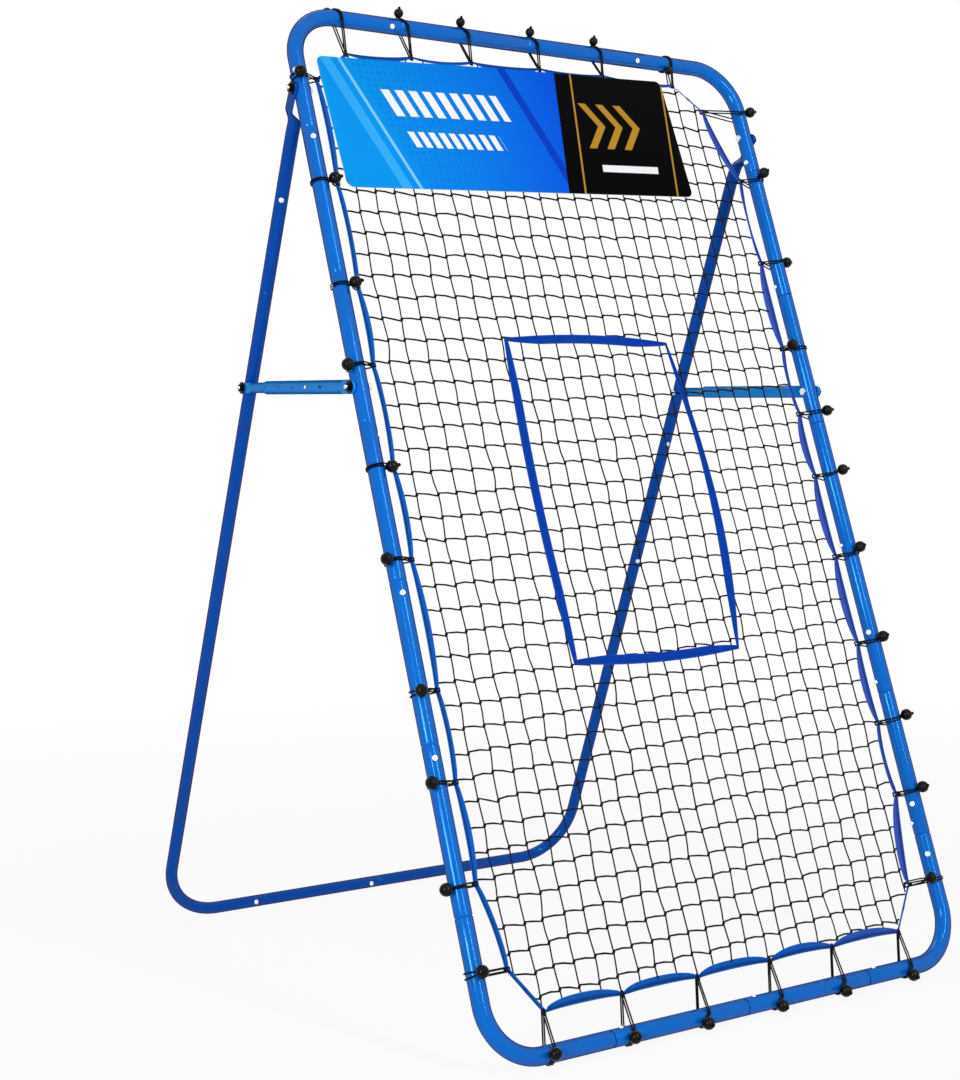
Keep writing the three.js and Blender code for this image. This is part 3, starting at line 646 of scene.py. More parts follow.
def finish(name):
    """The material of that name, made when it is first asked for."""
    made = bpy.data.materials.get(name)
    if made:
        return made
    colours = bpy.context.scene.rebounder_colours
    maker, *settings = {
        "rail_powder_coat": (powder_coat, colours.rail, 0.6),
        "strut_powder_coat_painted_light": (powder_coat, colours.strut, 0.25),
        "leg_powder_coat_painted_shade": (powder_coat, colours.leg, 0.3),
        "black_oxide_steel": (plated_steel, linear("#1C1C1F"), 0.3, 0.5),
        "bright_zinc": (plated_steel, linear("#E6E8EA"), 0.16, 0.32),
        "satin_nickel": (plated_steel, linear("#F4F5F6"), 0.34, 0.46),
        "twisted_twine": (twisted_twine, colours.twine),
        "elastic_cord": (elastic_cord, colours.cord),
        "moulded_ball": (moulded_ball, colours.cord),
        "hem_webbing": (woven_webbing, colours.webbing, colours.webbing_right_painted_light, 0.42),
        "target_webbing_weave": (woven_webbing, colours.target, colours.target, 0.9),
        "printed_board": (printed_board, colours.sign_near, colours.sign_far, colours.sign_dark),
        "board_core": (board_core, linear("#BFE3F7")),
    }[name]
    material, tree = new_material(name)
    shader = add_node(tree, "BsdfPrincipled", maker(tree, *settings))
    add_node(tree, "OutputMaterial", {"Surface": shader.outputs[0]})
    return material


def deselect():
    """Leaves nothing selected, because operators act on all that is."""
    if bpy.context.object and bpy.context.object.mode != "OBJECT":
        bpy.ops.object.mode_set(mode="OBJECT")
    bpy.ops.object.select_all(action="DESELECT")


def only(*objects):
    """Selects these objects alone, the first one active."""
    deselect()
    for item in objects:
        item.select_set(True)
    bpy.context.view_layer.objects.active = objects[0]


def named(name):
    """Gives the active object and its mesh this name."""
    item = bpy.context.object
    item.name = name
    item.data.name = name
    return item


def opened(item=None):
    """Opens the active object's mesh, or this object's, with all of it selected."""
    if item:
        only(item)
    bpy.ops.object.mode_set(mode="EDIT")
    bpy.ops.mesh.select_all(action="SELECT")


def closed():
    """Closes the open mesh and gives its object."""
    bpy.ops.object.mode_set(mode="OBJECT")
    return bpy.context.object


def choose(test, kind="EDGE"):
    """In an open mesh, selects the vertices, edges or faces that pass a test with all their corners."""
    bpy.ops.mesh.select_mode(type=kind)
    bpy.ops.mesh.select_all(action="DESELECT")
    mesh = bmesh.from_edit_mesh(bpy.context.object.data)
    for part in {"VERT": mesh.verts, "EDGE": mesh.edges, "FACE": mesh.faces}[kind]:
        corners = [part] if kind == "VERT" else part.verts
        if all(test(corner.co) for corner in corners):
            part.select_set(True)
    mesh.select_flush_mode()
    bmesh.update_edit_mesh(bpy.context.object.data)


def extruded(x, y, z):
    """Extrudes what is selected in an open mesh by this much."""
    bpy.ops.mesh.extrude_region_move(TRANSFORM_OT_translate={"value": (x, y, z)})


def faced_out(item):
    """Turns a mesh's faces outwards."""
    opened(item)
    bpy.ops.mesh.normals_make_consistent(inside=False)
    return closed()


def modify(item, kind, **settings):
    """Adds a modifier to an object and applies it."""
    modifier = item.modifiers.new(kind, kind)
    for name, value in settings.items():
        setattr(modifier, name, value)
    only(item)
    bpy.ops.object.modifier_apply(modifier=modifier.name)


def bevelled(item, width, segments, degrees):
    """Rounds a mesh's edges where they are sharper than an angle."""
    settings = {"limit_method": "ANGLE", "angle_limit": math.radians(degrees)}
    modify(item, "BEVEL", width=width, segments=segments, **settings)
    return item


def smooth(item, degrees=35):
    """Smooth shading that keeps the edges sharper than an angle."""
    only(item)
    bpy.ops.object.shade_smooth_by_angle(angle=math.radians(degrees))
    return item


def moved(item, move):
    """Moves every vertex of a mesh by a function of its place."""
    for vertex in item.data.vertices:
        vertex.co = move(vertex.co.copy())
    item.data.update()
    return item


def copied(master, name, matrix):
    """A copy of a shape with its own mesh, placed in that mesh."""
    item = master.copy()
    item.data = master.data.copy()
    item.name = name
    item.data.name = name
    item.data.transform(matrix)
    bpy.context.collection.objects.link(item)
    return item


def joined(items, name):
    """One object from several."""
    only(*items)
    bpy.ops.object.join()
    return named(name)


def dropped(item):
    """Removes an object that only helped."""
    bpy.data.objects.remove(item, do_unlink=True)


def dressed(item, material, slot, body, nodes=()):
    """Gives a piece its finish and body, and hides the CAD nodes that it stands for; the slot is not used.
    """
    if material:
        item.data.materials.clear()
        item.data.materials.append(finish(material))
    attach(item, body)
    if nodes:
        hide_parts(*nodes)


def turned_to(way):
    """The turn from +Z to a direction."""
    return Vector((0, 0, 1)).rotation_difference(way)


def bored(item, place, way, radius, length):
    """Drills a round hole through a place."""
    turn = turned_to(way).to_euler()
    deselect()
    bpy.ops.mesh.primitive_cylinder_add(
        vertices=32, radius=radius, depth=length, location=place, rotation=turn
    )
    cutter = bpy.context.object
    modify(item, "BOOLEAN", operation="DIFFERENCE", object=cutter, solver="EXACT")
    dropped(cutter)


def bored_wall(item, radius, height):
    """Drills a button's hole through one wall of a strut's tube, at a height on its +X side."""
    bored(item, Vector((radius, 0, height)), X_AXIS, STRUT_HOLE_RADIUS, radius)


def cylinder(radius, low, high, sides, ends="NGON"):
    """A cylinder along +Z from one height to another."""
    middle_up = (low + high) / 2
    deselect()
    bpy.ops.mesh.primitive_cylinder_add(
        vertices=sides, radius=radius, depth=high - low, location=(0, 0, middle_up), end_fill_type=ends
    )
    bpy.ops.object.transform_apply(location=True, rotation=True, scale=True)
    return bpy.context.object


def tube_ring(radius):
    """Starts a tube: an open ring of wall round +Z, its mesh left open with the top rim selected."""
    cylinder(radius, SHOULDER, 2 * SHOULDER, TUBE_SIDES, "NOTHING")
    opened()
    choose(lambda corner: corner.z > 1.99 * SHOULDER)


def swaged(radius):
    """Draws a tube's selected start down to the bore of the tube before it."""
    narrow = (radius - TUBE_WALL - SWAGE_GAP) / radius
    extruded(0, 0, -SHOULDER)
    bpy.ops.transform.resize(value=(narrow, narrow, 1))
    extruded(0, 0, -SWAGE_LENGTH)


def walled(name):
    """Names the open tube and gives it its wall and the round rims of its mouths."""
    item = named(name)
    opened(item)
    bpy.ops.mesh.remove_doubles(threshold=0.01 * MM)
    closed()
    faced_out(item)
    first = item.data.polygons[0]
    if first.normal.to_2d().dot(first.center.to_2d()) < 0:
        opened(item)
        bpy.ops.mesh.flip_normals()
        closed()
    modify(item, "SOLIDIFY", thickness=TUBE_WALL, offset=-1)
    return bevelled(item, MOUTH_ROUND, 2, 60)


def straight_tube(radius, length):
    """A tube along +Z with a swaged start and a plain end."""
    tube_ring(radius)
    extruded(0, 0, length - SWAGE_GAP - 2 * SHOULDER)
    choose(lambda corner: corner.z < 1.01 * SHOULDER)
    swaged(radius)
    return walled("straight_tube")


def bent_tube(radius, bend, arm, towards):
    """A corner tube along +Z that turns a quarter towards +X or -X."""
    lead = arm - bend
    tube_ring(radius)
    extruded(0, 0, lead - 2 * SHOULDER)
    bpy.ops.mesh.spin(
        steps=BEND_STEPS, angle=-towards * math.pi / 2, center=(towards * bend, 0, lead), axis=(0, 1, 0)
    )
    extruded(towards * (lead - SWAGE_GAP), 0, 0)
    choose(lambda corner: corner.z < 1.01 * SHOULDER)
    swaged(radius)
    return walled("corner_tube")


def button_spot(name, length, arm, towards):
    """Where a tube's button sits on its axis and which way it points, in the tube's own frame."""
    turn = math.radians(BUTTON_TURNS.get(name, HIDDEN_TURN))
    side, front = math.sin(turn), -math.cos(turn)
    if length is None:
        return Vector((towards * (arm - BUTTON_SETBACK), 0, arm)), Vector((0, front, -side))
    return Vector((0, 0, length - BUTTON_SETBACK)), Vector((towards * side, front, 0))


def drilled_for_button(item, place, way, radius):
    """Drills a tube for its snap button and smooths it."""
    hole = bpy.context.scene.rebounder_sizes.button / 2 + BUTTON_CLEARANCE
    bored(item, place + way * radius, way, hole, radius)
    smooth(item)


def chain(pieces, start, heading, turn, arm, point, up_way, front_way):
    """Lays tubes end to end: gives each name, length and placing, with a quarter turn at each corner."""
    cursor, angle = Vector(start), heading
    for name, length in pieces:
        ahead = Vector((math.sin(angle), math.cos(angle)))
        across = X_AXIS * ahead.y - up_way * ahead.x
        along = X_AXIS * ahead.x + up_way * ahead.y
        yield name, length, placing(point(*cursor), across, front_way, along)
        cursor += ahead * (length or arm)
        if length is None:
            angle += turn * math.pi / 2
            cursor += Vector((math.sin(angle), math.cos(angle))) * arm


def numbered(name, count, length):
    """The names of a row of straight tubes, each with its length."""
    return [(f"{name}_{i + 1}", length) for i in range(count)]


def front_chain():
    """The front frame's tubes, clockwise from the bottom left corner."""
    side = (RISE - 2 * RAIL_ARM) / RAIL_SIDE_TUBES
    end = (2 * RAIL_X - 2 * RAIL_ARM) / END_TUBES
    pieces = [
        ("corner_bottom_left", None),
        *numbered("side_tube_left", RAIL_SIDE_TUBES, side),
        ("corner_top_left", None),
        *numbered("top_tube", END_TUBES, end),
        ("corner_top_right", None),
        *reversed(numbered("side_tube_right", RAIL_SIDE_TUBES, side)),
        ("corner_bottom_right", None),
        *reversed(numbered("bottom_tube", END_TUBES, end)),
    ]
    return chain(pieces, (RAIL_ARM - RAIL_X, 0), -math.pi / 2, 1, RAIL_ARM, on_plane, SLOPE, -OUT)


def rear_chain():
    """The rear frame's tubes below the leg tops, anticlockwise from the left leg."""
    side = (HINGE_UP - LEG_TOP - LEG_ARM) / LEG_TUBES
    end = (2 * LEG_X - 2 * LEG_ARM) / END_TUBES
    pieces = [
        *numbered("leg_tube_left", LEG_TUBES, side),
        ("rear_corner_left", None),
        *numbered("rear_bottom_tube", END_TUBES, end),
        ("rear_corner_right", None),
        *reversed(numbered("leg_tube_right", LEG_TUBES, side)),
    ]
    return chain(pieces, (-LEG_X, HINGE_UP - LEG_TOP), math.pi, -1, LEG_ARM, on_leg, LEG_UP, BACK)


# Each frame's tubes: radius, bend, length of a corner tube's arms, and the side its corners turn to
FRAMES = {
    "front_frame": (RAIL_RADIUS, RAIL_BEND, RAIL_ARM, 1),
    "rear_frame": (LEG_RADIUS, LEG_BEND, LEG_ARM, -1),
}


def build_tubes(body, pieces, coat, slot):
    """Models each kind of tube once, copies it to its places and drills it for its button."""
    radius, bend, arm, towards = FRAMES[body]
    masters = {}
    for name, length, matrix in pieces:
        if length not in masters:
            if length is None:
                masters[length] = bent_tube(radius, bend, arm, towards)
            else:
                masters[length] = straight_tube(radius, length)
        item = copied(masters[length], f"{name}_steel", Matrix())
        drilled_for_button(item, *button_spot(name, length, arm, towards), radius)
        item.data.transform(matrix)
        dressed(item, coat, slot, body, (name,))
    for master in masters.values():
        dropped(master)


def crushed_tube(name, radius, heights, tab, tab_x, kink=(), bore=None, swage=False):
    """A tube along +Z from its start, crushed from one height to another into a flat, round-tipped tab."""
    start, crush_from, crush_to, tip_at = heights
    blend = stretch(crush_from, crush_to, BLEND_RINGS)
    rings = [(height, 1.0) for height in (start + SHOULDER, *kink, *blend, tip_at)]
    turns = stretch(0.0, math.pi / 2, TIP_RINGS)[1:]
    rings += [(tip_at + radius * math.sin(turn), max(math.cos(turn), 0.05)) for turn in turns]
    deselect()
    bpy.ops.mesh.primitive_circle_add(
        vertices=TUBE_SIDES, radius=radius, fill_type="NGON", location=(0, 0, start)
    )
    bpy.ops.object.transform_apply(location=True, rotation=True, scale=True)
    opened()
    last, wide = start, 1.0
    for height, width in rings:
        extruded(0, 0, height - last)
        if width != wide:
            share = width / wide
            bpy.ops.transform.resize(value=(share, share, 1))
        last, wide = height, width
    choose(lambda corner: corner.z < start + 0.01 * MM, "FACE")
    if bore:
        bpy.ops.mesh.inset(thickness=bore)
        extruded(0, 0, crush_from - start)
    if swage:
        swaged(radius)
    closed()
    item = faced_out(named(name))

    def crush(point):
        share = eased(point.z, crush_from, crush_to)
        if share == 0:
            return point
        across = math.hypot(point.x, point.y)
        side = point.x / max(across, 0.001 * MM)
        # A crushed section is nearly a slot: its sides run flat and turn over only at the edges
        round_over = math.copysign(min(1.0, abs(side) ** 0.45 * 1.15), side)
        # The tab thins to about half over the last third of its round tip
        near_tip = min(1.0, max(0.0, (tip_at + radius - point.z) / (0.35 * radius)))
        flat = tab_x + round_over * (0.55 + 0.45 * math.sqrt(near_tip)) * tab / 2
        point.x += (flat - point.x) * share
        return point

    return moved(item, crush)


def eased(value, low, high):
    """A smooth step from 0 at low to 1 at high."""
    share = min(1.0, max(0.0, (value - low) / (high - low)))
    return share * share * (3 - 2 * share)


def stretch(low, high, count):
    """Numbers from low to high, both in, in even steps."""
    return [low + (high - low) * i / count for i in range(count + 1)]


# The left leg top's button and its round plug, each with its place and its way: the plug faces forwards
LEG_TOP_BUTTON = (Vector((0, 0, BUTTON_SETBACK)), Vector((0, 1, 0)))
LEG_TOP_PLUG = (Vector((0, 0, 197 * MM)), Vector((-0.454, -0.891, 0)).normalized())


def outer_x(node, side):
    """Where a CAD node's box ends in x on one side of the object."""
    low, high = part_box(node)
    return high.x if side == RIGHT else low.x


def leg_top(side):
    """The top of a leg: bent a little forwards, crushed flat and drilled at the hinge."""
    node = f"leg_top_{SIDE_NAMES[side]}"
    past_kink = KINK_LENGTH - KINK_RADIUS * KINK_ANGLE
    lead = LEG_TOP - KINK_RADIUS * math.sin(KINK_ANGLE) - past_kink * math.cos(KINK_ANGLE)
    bolt_at = lead + KINK_LENGTH
    flat_from = bolt_at - TAB_FLAT
    start = SHOULDER if side == RIGHT else SWAGE_GAP
    heights = (start, flat_from - TAB_BLEND, flat_from, bolt_at)
    kink = stretch(lead, lead + KINK_RADIUS * KINK_ANGLE, 4)
    axis_x = CENTRE_X + side * LEG_X
    tab_x = outer_x(node, side) - side * TAB_THICKNESS / 2 - axis_x
    item = crushed_tube(
        f"{node}_steel", LEG_RADIUS, heights, TAB_THICKNESS, tab_x, kink, swage=side == RIGHT
    )
    if side == LEFT:
        drilled_for_button(item, *LEG_TOP_BUTTON, LEG_RADIUS)

    def bend(point):
        along = point.z - lead
        if along <= 0:
            return point
        turn = min(along / KINK_RADIUS, KINK_ANGLE)
        rest = along - turn * KINK_RADIUS
        arm = KINK_RADIUS + point.y
        point.y = -(KINK_RADIUS - arm * math.cos(turn) + rest * math.sin(turn))
        point.z = lead + arm * math.sin(turn) + rest * math.cos(turn)
        return point

    moved(item, bend)
    item.data.transform(leg_top_place(side))
    hinge = Vector((axis_x + tab_x, HINGE.y, HINGE.z))
    bored(item, hinge, X_AXIS, BOLT_RADIUS + BOLT_PLAY, 4 * TAB_THICKNESS)
    smooth(item)
    dressed(item, "leg_powder_coat_painted_shade", "leg_paint", "rear_frame", (node,))


def leg_top_place(side):
    """The placing of a leg top's lower end."""
    return placing(on_leg(side * LEG_X, HINGE_UP - LEG_TOP), X_AXIS, BACK, LEG_UP)


class REBOUNDER_OT_front_frame(bpy.types.Operator):
    """Models the front frame's swaged tubes"""

    bl_idname = "rebounder.front_frame"
    bl_label = "Front Frame"

    def execute(self, context):
        build_tubes("front_frame", front_chain(), "rail_powder_coat", "rail_paint")
        return {"FINISHED"}


class REBOUNDER_OT_rear_frame(bpy.types.Operator):
    """Models the rear frame's swaged tubes and its crushed leg tops"""

    bl_idname = "rebounder.rear_frame"
    bl_label = "Rear Frame"

    def execute(self, context):
        build_tubes("rear_frame", rear_chain(), "leg_powder_coat_painted_shade", "leg_paint")
        for side in (LEFT, RIGHT):
            leg_top(side)
        return {"FINISHED"}


def button_master():
    """A domed button along +Z that stands proud of a tube's skin at the origin's height."""
    radius = bpy.context.scene.rebounder_sizes.button / 2
    cylinder(radius, -BUTTON_ROOT, BUTTON_PROUD, 32)
    named("snap_button")
    opened()
    choose(lambda corner: corner.z > 0, "FACE")
    bpy.ops.mesh.bevel(offset=0.45 * BUTTON_PROUD, segments=5, affect="EDGES")
    return smooth(closed())


def joint_spots(body, pieces):
    """The placing, place and way of each button on a frame's tubes, and of its plugs."""
    arm, towards = FRAMES[body][2:]
    spots = [(matrix, *button_spot(name, length, arm, towards)) for name, length, matrix in pieces]
    if body == "rear_frame":
        return spots + [(leg_top_place(LEFT), *part) for part in (LEG_TOP_BUTTON, LEG_TOP_PLUG)]
    for side, up, degrees in PLUGS:
        turn = math.radians(degrees)
        way = Vector((-side * math.sin(turn), -math.cos(turn), 0))
        spots.append((placing(on_plane(side * RAIL_X, up), X_AXIS, -OUT, SLOPE), Vector(), way))
    return spots


class REBOUNDER_OT_snap_buttons(bpy.types.Operator):
    """Models a snap button and copies it to each joint of the tubes"""

    bl_idname = "rebounder.snap_buttons"
    bl_label = "Snap Buttons"

    def execute(self, context):
        master = button_master()
        for body, pieces in (("front_frame", front_chain()), ("rear_frame", rear_chain())):
            radius = FRAMES[body][0]
            for i, (matrix, place, way) in enumerate(joint_spots(body, pieces)):
                turn = turned_to(way).to_matrix().to_4x4()
                spot = matrix @ Matrix.Translation(place + way * radius) @ turn
                item = copied(master, f"{body}_snap_button_{i + 1}", spot)
                dressed(item, "satin_nickel", "button_steel", body)
        dropped(master)
        return {"FINISHED"}


def hex_part(radius, height, base):
    """A hexagon along +Z from a base height, its top corners rounded off as on a nut."""
    cylinder(radius, base, base + height, 6)
    opened()
    choose(lambda corner: corner.z > base + 0.9 * height, "VERT")
    bpy.ops.mesh.bevel(offset=0.16 * radius, segments=2, affect="VERTICES")
    return bevelled(closed(), 0.5 * MM, 2, 25)


class REBOUNDER_OT_bolts(bpy.types.Operator):
    """Models the six bolts with their washers and nuts"""

    bl_idname = "rebounder.bolts"
    bl_label = "Bolts"

    def execute(self, context):
        for kind, body in (
            ("hinge_bolt", "front_frame"),
            ("strut_front_bolt", "front_frame"),
            ("strut_rear_bolt", "rear_frame"),
        ):
            low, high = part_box(f"{kind}_right")
            bottom, top = low.x - CENTRE_X, high.x - CENTRE_X
            seat = top - NUT_HEIGHT - WASHER_THICKNESS
            washer = cylinder(WASHER_RADIUS, seat, seat + WASHER_THICKNESS, 40)
            rod = cylinder(BOLT_RADIUS, bottom + MM, top + BOLT_END, 24)
            cap = hex_part(NUT_RADIUS, NUT_HEIGHT, bottom)
            # The cap nut is turned over, so that its rounded corners face away from the frame
            moved(cap, lambda point: Vector((point.x, point.y, 2 * bottom + NUT_HEIGHT - point.z)))
            parts = (
                (bevelled(washer, 0.8 * MM, 3, 40), "black_oxide_steel"),
                (hex_part(NUT_RADIUS, NUT_HEIGHT, seat + WASHER_THICKNESS), "black_oxide_steel"),
                (bevelled(rod, 0.8 * MM, 2, 40), "bright_zinc"),
                (faced_out(cap), "bright_zinc"),
            )
            for item, material in parts:
                item.data.materials.append(finish(material))
            master = joined([item for item, material in parts], kind)
            smooth(master, 30)
            for side, name in SIDE_NAMES.items():
                node = f"{kind}_{name}"
                centre = middle(node)
                origin = Vector((CENTRE_X, centre.y, centre.z))
                spot = placing(origin, Vector((0, 0, -side)), Vector((0, 1, 0)), X_AXIS * side)
                dressed(copied(master, f"{node}_steel", spot), None, "bolt_steel", body, (node,))
            dropped(master)
        return {"FINISHED"}


def strut_layout(side):
    """A strut's own placing, its length from bolt to bolt, and its axis' distance from the middle."""
    name = SIDE_NAMES[side]
    front, rear = middle(f"strut_front_bolt_{name}"), middle(f"strut_rear_bolt_{name}")
    axis_x = outer_x(f"strut_outer_{name}", side) - side * STRUT_RADIUS
    along = Vector((0, rear.y - front.y, rear.z - front.z))
    span = along.length
    along.normalize()
    outwards = X_AXIS * side
    start = Vector((axis_x, front.y, front.z))
    return placing(start, outwards, along.cross(outwards), along), span, axis_x


def build_strut(side):
    """One strut: crushed outer tube with its holes, inner tube with its tab, and the button."""
    name = SIDE_NAMES[side]
    matrix, span, axis_x = strut_layout(side)

    def placed(item, coat, slot, body, node):
        smooth(item)
        item.data.transform(matrix)
        dressed(item, coat, slot, body, (node,))

    # The outer tube is made along +Z with its tab at the top, then turned end for end
    length = span - STRUT_MOUTH_TO_BOLT
    tab_x = STRUT_RADIUS - TAB_THICKNESS / 2
    heights = (-length, -STRUT_FLAT - TAB_BLEND, -STRUT_FLAT, 0.0)
    node = f"strut_outer_{name}"
    outer = crushed_tube(f"{node}_steel", STRUT_RADIUS, heights, TAB_THICKNESS, tab_x, bore=STRUT_WALL)
    outer.data.transform(Matrix.Rotation(math.pi, 4, "X"))
    bevelled(outer, MOUTH_ROUND, 2, 70)
    holes = stretch(*(share * length for share in STRUT_HOLE_SHARES), STRUT_HOLES - 1)
    button_at = holes[STRUT_HOLE_IN_USE]
    # The first hole is a little oval: the button stops short of its middle when the stand is upright
    for height in (*holes, button_at - STRUT_SHORTEST):
        bored_wall(outer, STRUT_RADIUS, height)
    bored(outer, Vector((tab_x, 0, 0)), X_AXIS, BOLT_RADIUS + BOLT_PLAY, 4 * TAB_THICKNESS)
    placed(outer, "strut_powder_coat_painted_light", "rail_paint", node, node)

    radius = STRUT_RADIUS - STRUT_WALL - SWAGE_GAP
    flat_from = span - INNER_FLAT
    heights = (button_at - INNER_PAST, flat_from - INNER_BLEND, flat_from, span)
    node = f"strut_inner_{name}"
    tab_x = abs(outer_x(node, side) - axis_x) - INNER_TAB / 2
    inner = crushed_tube(f"{node}_steel", radius, heights, INNER_TAB, tab_x, bore=TUBE_WALL)
    for height in holes[STRUT_HOLE_IN_USE:]:
        bored_wall(inner, radius, height)
    bored(inner, Vector((tab_x, 0, span)), X_AXIS, INNER_OPEN, 4 * INNER_TAB)
    placed(inner, "strut_powder_coat_painted_light", "rail_paint", node, node)

    node = f"strut_snap_button_{name}"
    foot = radius - 2.5 * TUBE_WALL
    cylinder(STRUT_BUTTON_RADIUS, foot, STRUT_RADIUS + STRUT_BUTTON_RISE, 24)
    button = bevelled(named(f"{node}_steel"), 1.6 * MM, 4, 40)
    button.data.transform(Matrix.Translation((0, 0, button_at)) @ Matrix.Rotation(math.pi / 2, 4, "Y"))
    placed(button, "bright_zinc", "button_steel", f"strut_button_{name}", node)


class REBOUNDER_OT_struts(bpy.types.Operator):
    """Models the two telescopic struts with their snap buttons"""

    bl_idname = "rebounder.struts"
    bl_label = "Struts"

    def execute(self, context):
        for side in (LEFT, RIGHT):
            build_strut(side)
        return {"FINISHED"}


SIDES = ("left", "top", "right", "bottom")
INWARDS = {
    "left": Vector((1, 0)),
    "top": Vector((0, -1)),
    "right": Vector((-1, 0)),
    "bottom": Vector((0, 1)),
}


def tie_places():
    """Where the ties meet the webbing's outer edge, clockwise from the bottom left."""
    last = len(TIES_RIGHT_SHARES) - 1
    gaps_left = {0: GAP_LAST_LEFT}
    gaps_right = {0: GAP_LAST_RIGHT, last: GAP_TOP_RIGHT}
    left = [
        Vector((gaps_left.get(i, GAP_LEFT) - RAIL_X, share * RISE))
        for i, share in enumerate(TIES_LEFT_SHARES)
    ]
    right = [
        Vector((RAIL_X - gaps_right.get(i, GAP_RIGHT), share * RISE))
        for i, share in enumerate(TIES_RIGHT_SHARES)
    ]
    top = [Vector((share * 2 * RAIL_X, RISE - gap)) for share, gap in zip(TIES_TOP_SHARES, GAPS_TOP)]
    bottom = [Vector((share * 2 * RAIL_X, GAP_BOTTOM)) for share in TIES_BOTTOM_SHARES]
    return {"left": left, "top": top, "right": right[::-1], "bottom": bottom[::-1]}


def hem_samples(side, rng):
    """Places along one side's webbing: outer edge, way inwards, share of its width, twist and pinch."""
    places = tie_places()
    order = SIDES.index(side)
    before = places[SIDES[order - 1]][-1]
    after = places[SIDES[(order + 1) % len(SIDES)]][0]
    ties = places[side]
    knots = [(ties[0] + before) / 2, *ties, (ties[-1] + after) / 2]
    last = len(knots) - 2
    tight, slack = WIDTH_SHARES[side]
    samples = []
    for k, (start, end) in enumerate(zip(knots, knots[1:])):
        corner = k in (0, last)
        way = (end - start).normalized()
        inwards = Vector((way.y, -way.x))
        lean = rng.uniform(-HEM_LEAN, HEM_LEAN)
        steps = SPAN_STEPS // 2 if corner else SPAN_STEPS
        for i in range(steps + (k == last)):
            share = i / steps
            arch = 4 * share * (1 - share)
            swell = CORNER_WIDTH_SHARE if corner else tight + (slack - tight) * arch ** 0.7
            bow = 0.0 if corner else BOWS[side] * arch
            point = start.lerp(end, share) + inwards * bow
            twist = lean * math.sin(math.pi * share) + 0.5 * (1 - swell)
            samples.append((point, inwards, swell, twist, 1 - min(1.0, 1.5 * arch)))
    return samples


def ribbon(name, samples):
    """A strip of webbing through samples, with its length and width in metres as its UV map."""
    width = bpy.context.scene.rebounder_sizes.webbing
    deselect()
    rows = len(samples) - 1
    bpy.ops.mesh.primitive_grid_add(x_subdivisions=rows, y_subdivisions=WEB_STEPS, size=2)
    item = named(name)
    runs = [0.0]
    for (start, *_), (end, *_) in zip(samples, samples[1:]):
        runs.append(runs[-1] + (end - start).length)
    uv_of = {}
    for vertex in item.data.vertices:
        row = round((vertex.co.x + 1) / 2 * rows)
        share = (vertex.co.y + 1) / 2
        point, inwards, swell, twist, pinch = samples[row]
        reach = width * swell
        pleat = PLEAT * pinch * math.sin(share * 3 * math.pi)
        roll = ROLL * max(0.0, share - ROLL_FROM) / (1 - ROLL_FROM)
        across = share * reach * math.cos(twist)
        out = CLOTH_DEPTH + (share - 0.5) * reach * math.sin(twist) + pleat + roll
        spot = point + inwards * across
        vertex.co = on_plane(spot.x, spot.y, out)
        uv_of[vertex.index] = (runs[row], share * width)
    layer = item.data.uv_layers["UVMap"]
    for loop in item.data.loops:
        layer.data[loop.index].uv = uv_of[loop.vertex_index]
    item.data.update()
    faced_out(item)
    modify(item, "SOLIDIFY", thickness=WEBBING_THICKNESS, offset=0)
    return smooth(item, 50)


class REBOUNDER_OT_hems(bpy.types.Operator):
    """Models the webbing round the net, drawn narrow at each tie and bowed in between"""

    bl_idname = "rebounder.hems"
    bl_label = "Hem Webbing"

    def execute(self, context):
        rng = random.Random(7)
        for side in SIDES:
            item = ribbon(f"hem_{side}_webbing", hem_samples(side, rng))
            dressed(item, "hem_webbing", "webbing", "front_frame", (f"hem_{side}",))
        return {"FINISHED"}


def target_samples(start, end, bulge, rng):
    """Places along one side of the target: narrow at the corners, widest in the middle."""
    way = (end - start).normalized()
    outwards = Vector((-way.y, way.x))
    lean = rng.uniform(-TARGET_LEAN, TARGET_LEAN)
    samples = []
    for share in stretch(0.0, 1.0, 2 * SPAN_STEPS):
        arch = 4 * share * (1 - share)
        swell = 0.34 + 0.66 * min(1.0, arch * 1.5) ** 0.8
        point = start.lerp(end, share) + outwards * bulge * arch
        twist = lean * math.sin(2 * math.pi * share) + 0.4 * (1 - swell)
        samples.append((point, -outwards, swell, twist, 0.5 * (1 - min(1.0, arch * 3))))
    return samples


class REBOUNDER_OT_target(bpy.types.Operator):
    """Models the target sewn on the net's middle from four lengths of webbing"""

    bl_idname = "rebounder.target"
    bl_label = "Target"

    def execute(self, context):
        rng = random.Random(11)
        half, tall = TARGET_SIZE[0] / 2, TARGET_SIZE[1] / 2
        centre = Vector((TARGET_X, RISE / 2))
        signs = ((-1, -1), (-1, 1), (1, 1), (1, -1))
        corners = [centre + Vector((half * across, tall * up)) for across, up in signs]
        strips = []
        for i, bulge in enumerate(TARGET_BULGES):
            samples = target_samples(corners[i], corners[(i + 1) % 4], bulge, rng)
            strips.append(ribbon(f"target_{i}", samples))
        item = joined(strips, "target_webbing_tape")
        dressed(item, "target_webbing_weave", "target_webbing", "front_frame", ("target_webbing",))
        return {"FINISHED"}


def hem_middle_line():
    """The closed line under the webbing that the net's strands are sewn to."""
    width = bpy.context.scene.rebounder_sizes.webbing
    line = []
    for side in SIDES:
        for point, inwards, swell, *_ in hem_samples(side, random.Random(7)):
            line.append(point + inwards * width * swell * SEWN_AT)
    return line


def inside(line, x, up):
    """Whether a point lies inside a closed line."""
    within = False
    for start, end in zip(line, line[1:] + line[:1]):
        if (start.y > up) != (end.y > up):
            if x < start.x + (up - start.y) / (end.y - start.y) * (end.x - start.x):
                within = not within
    return within


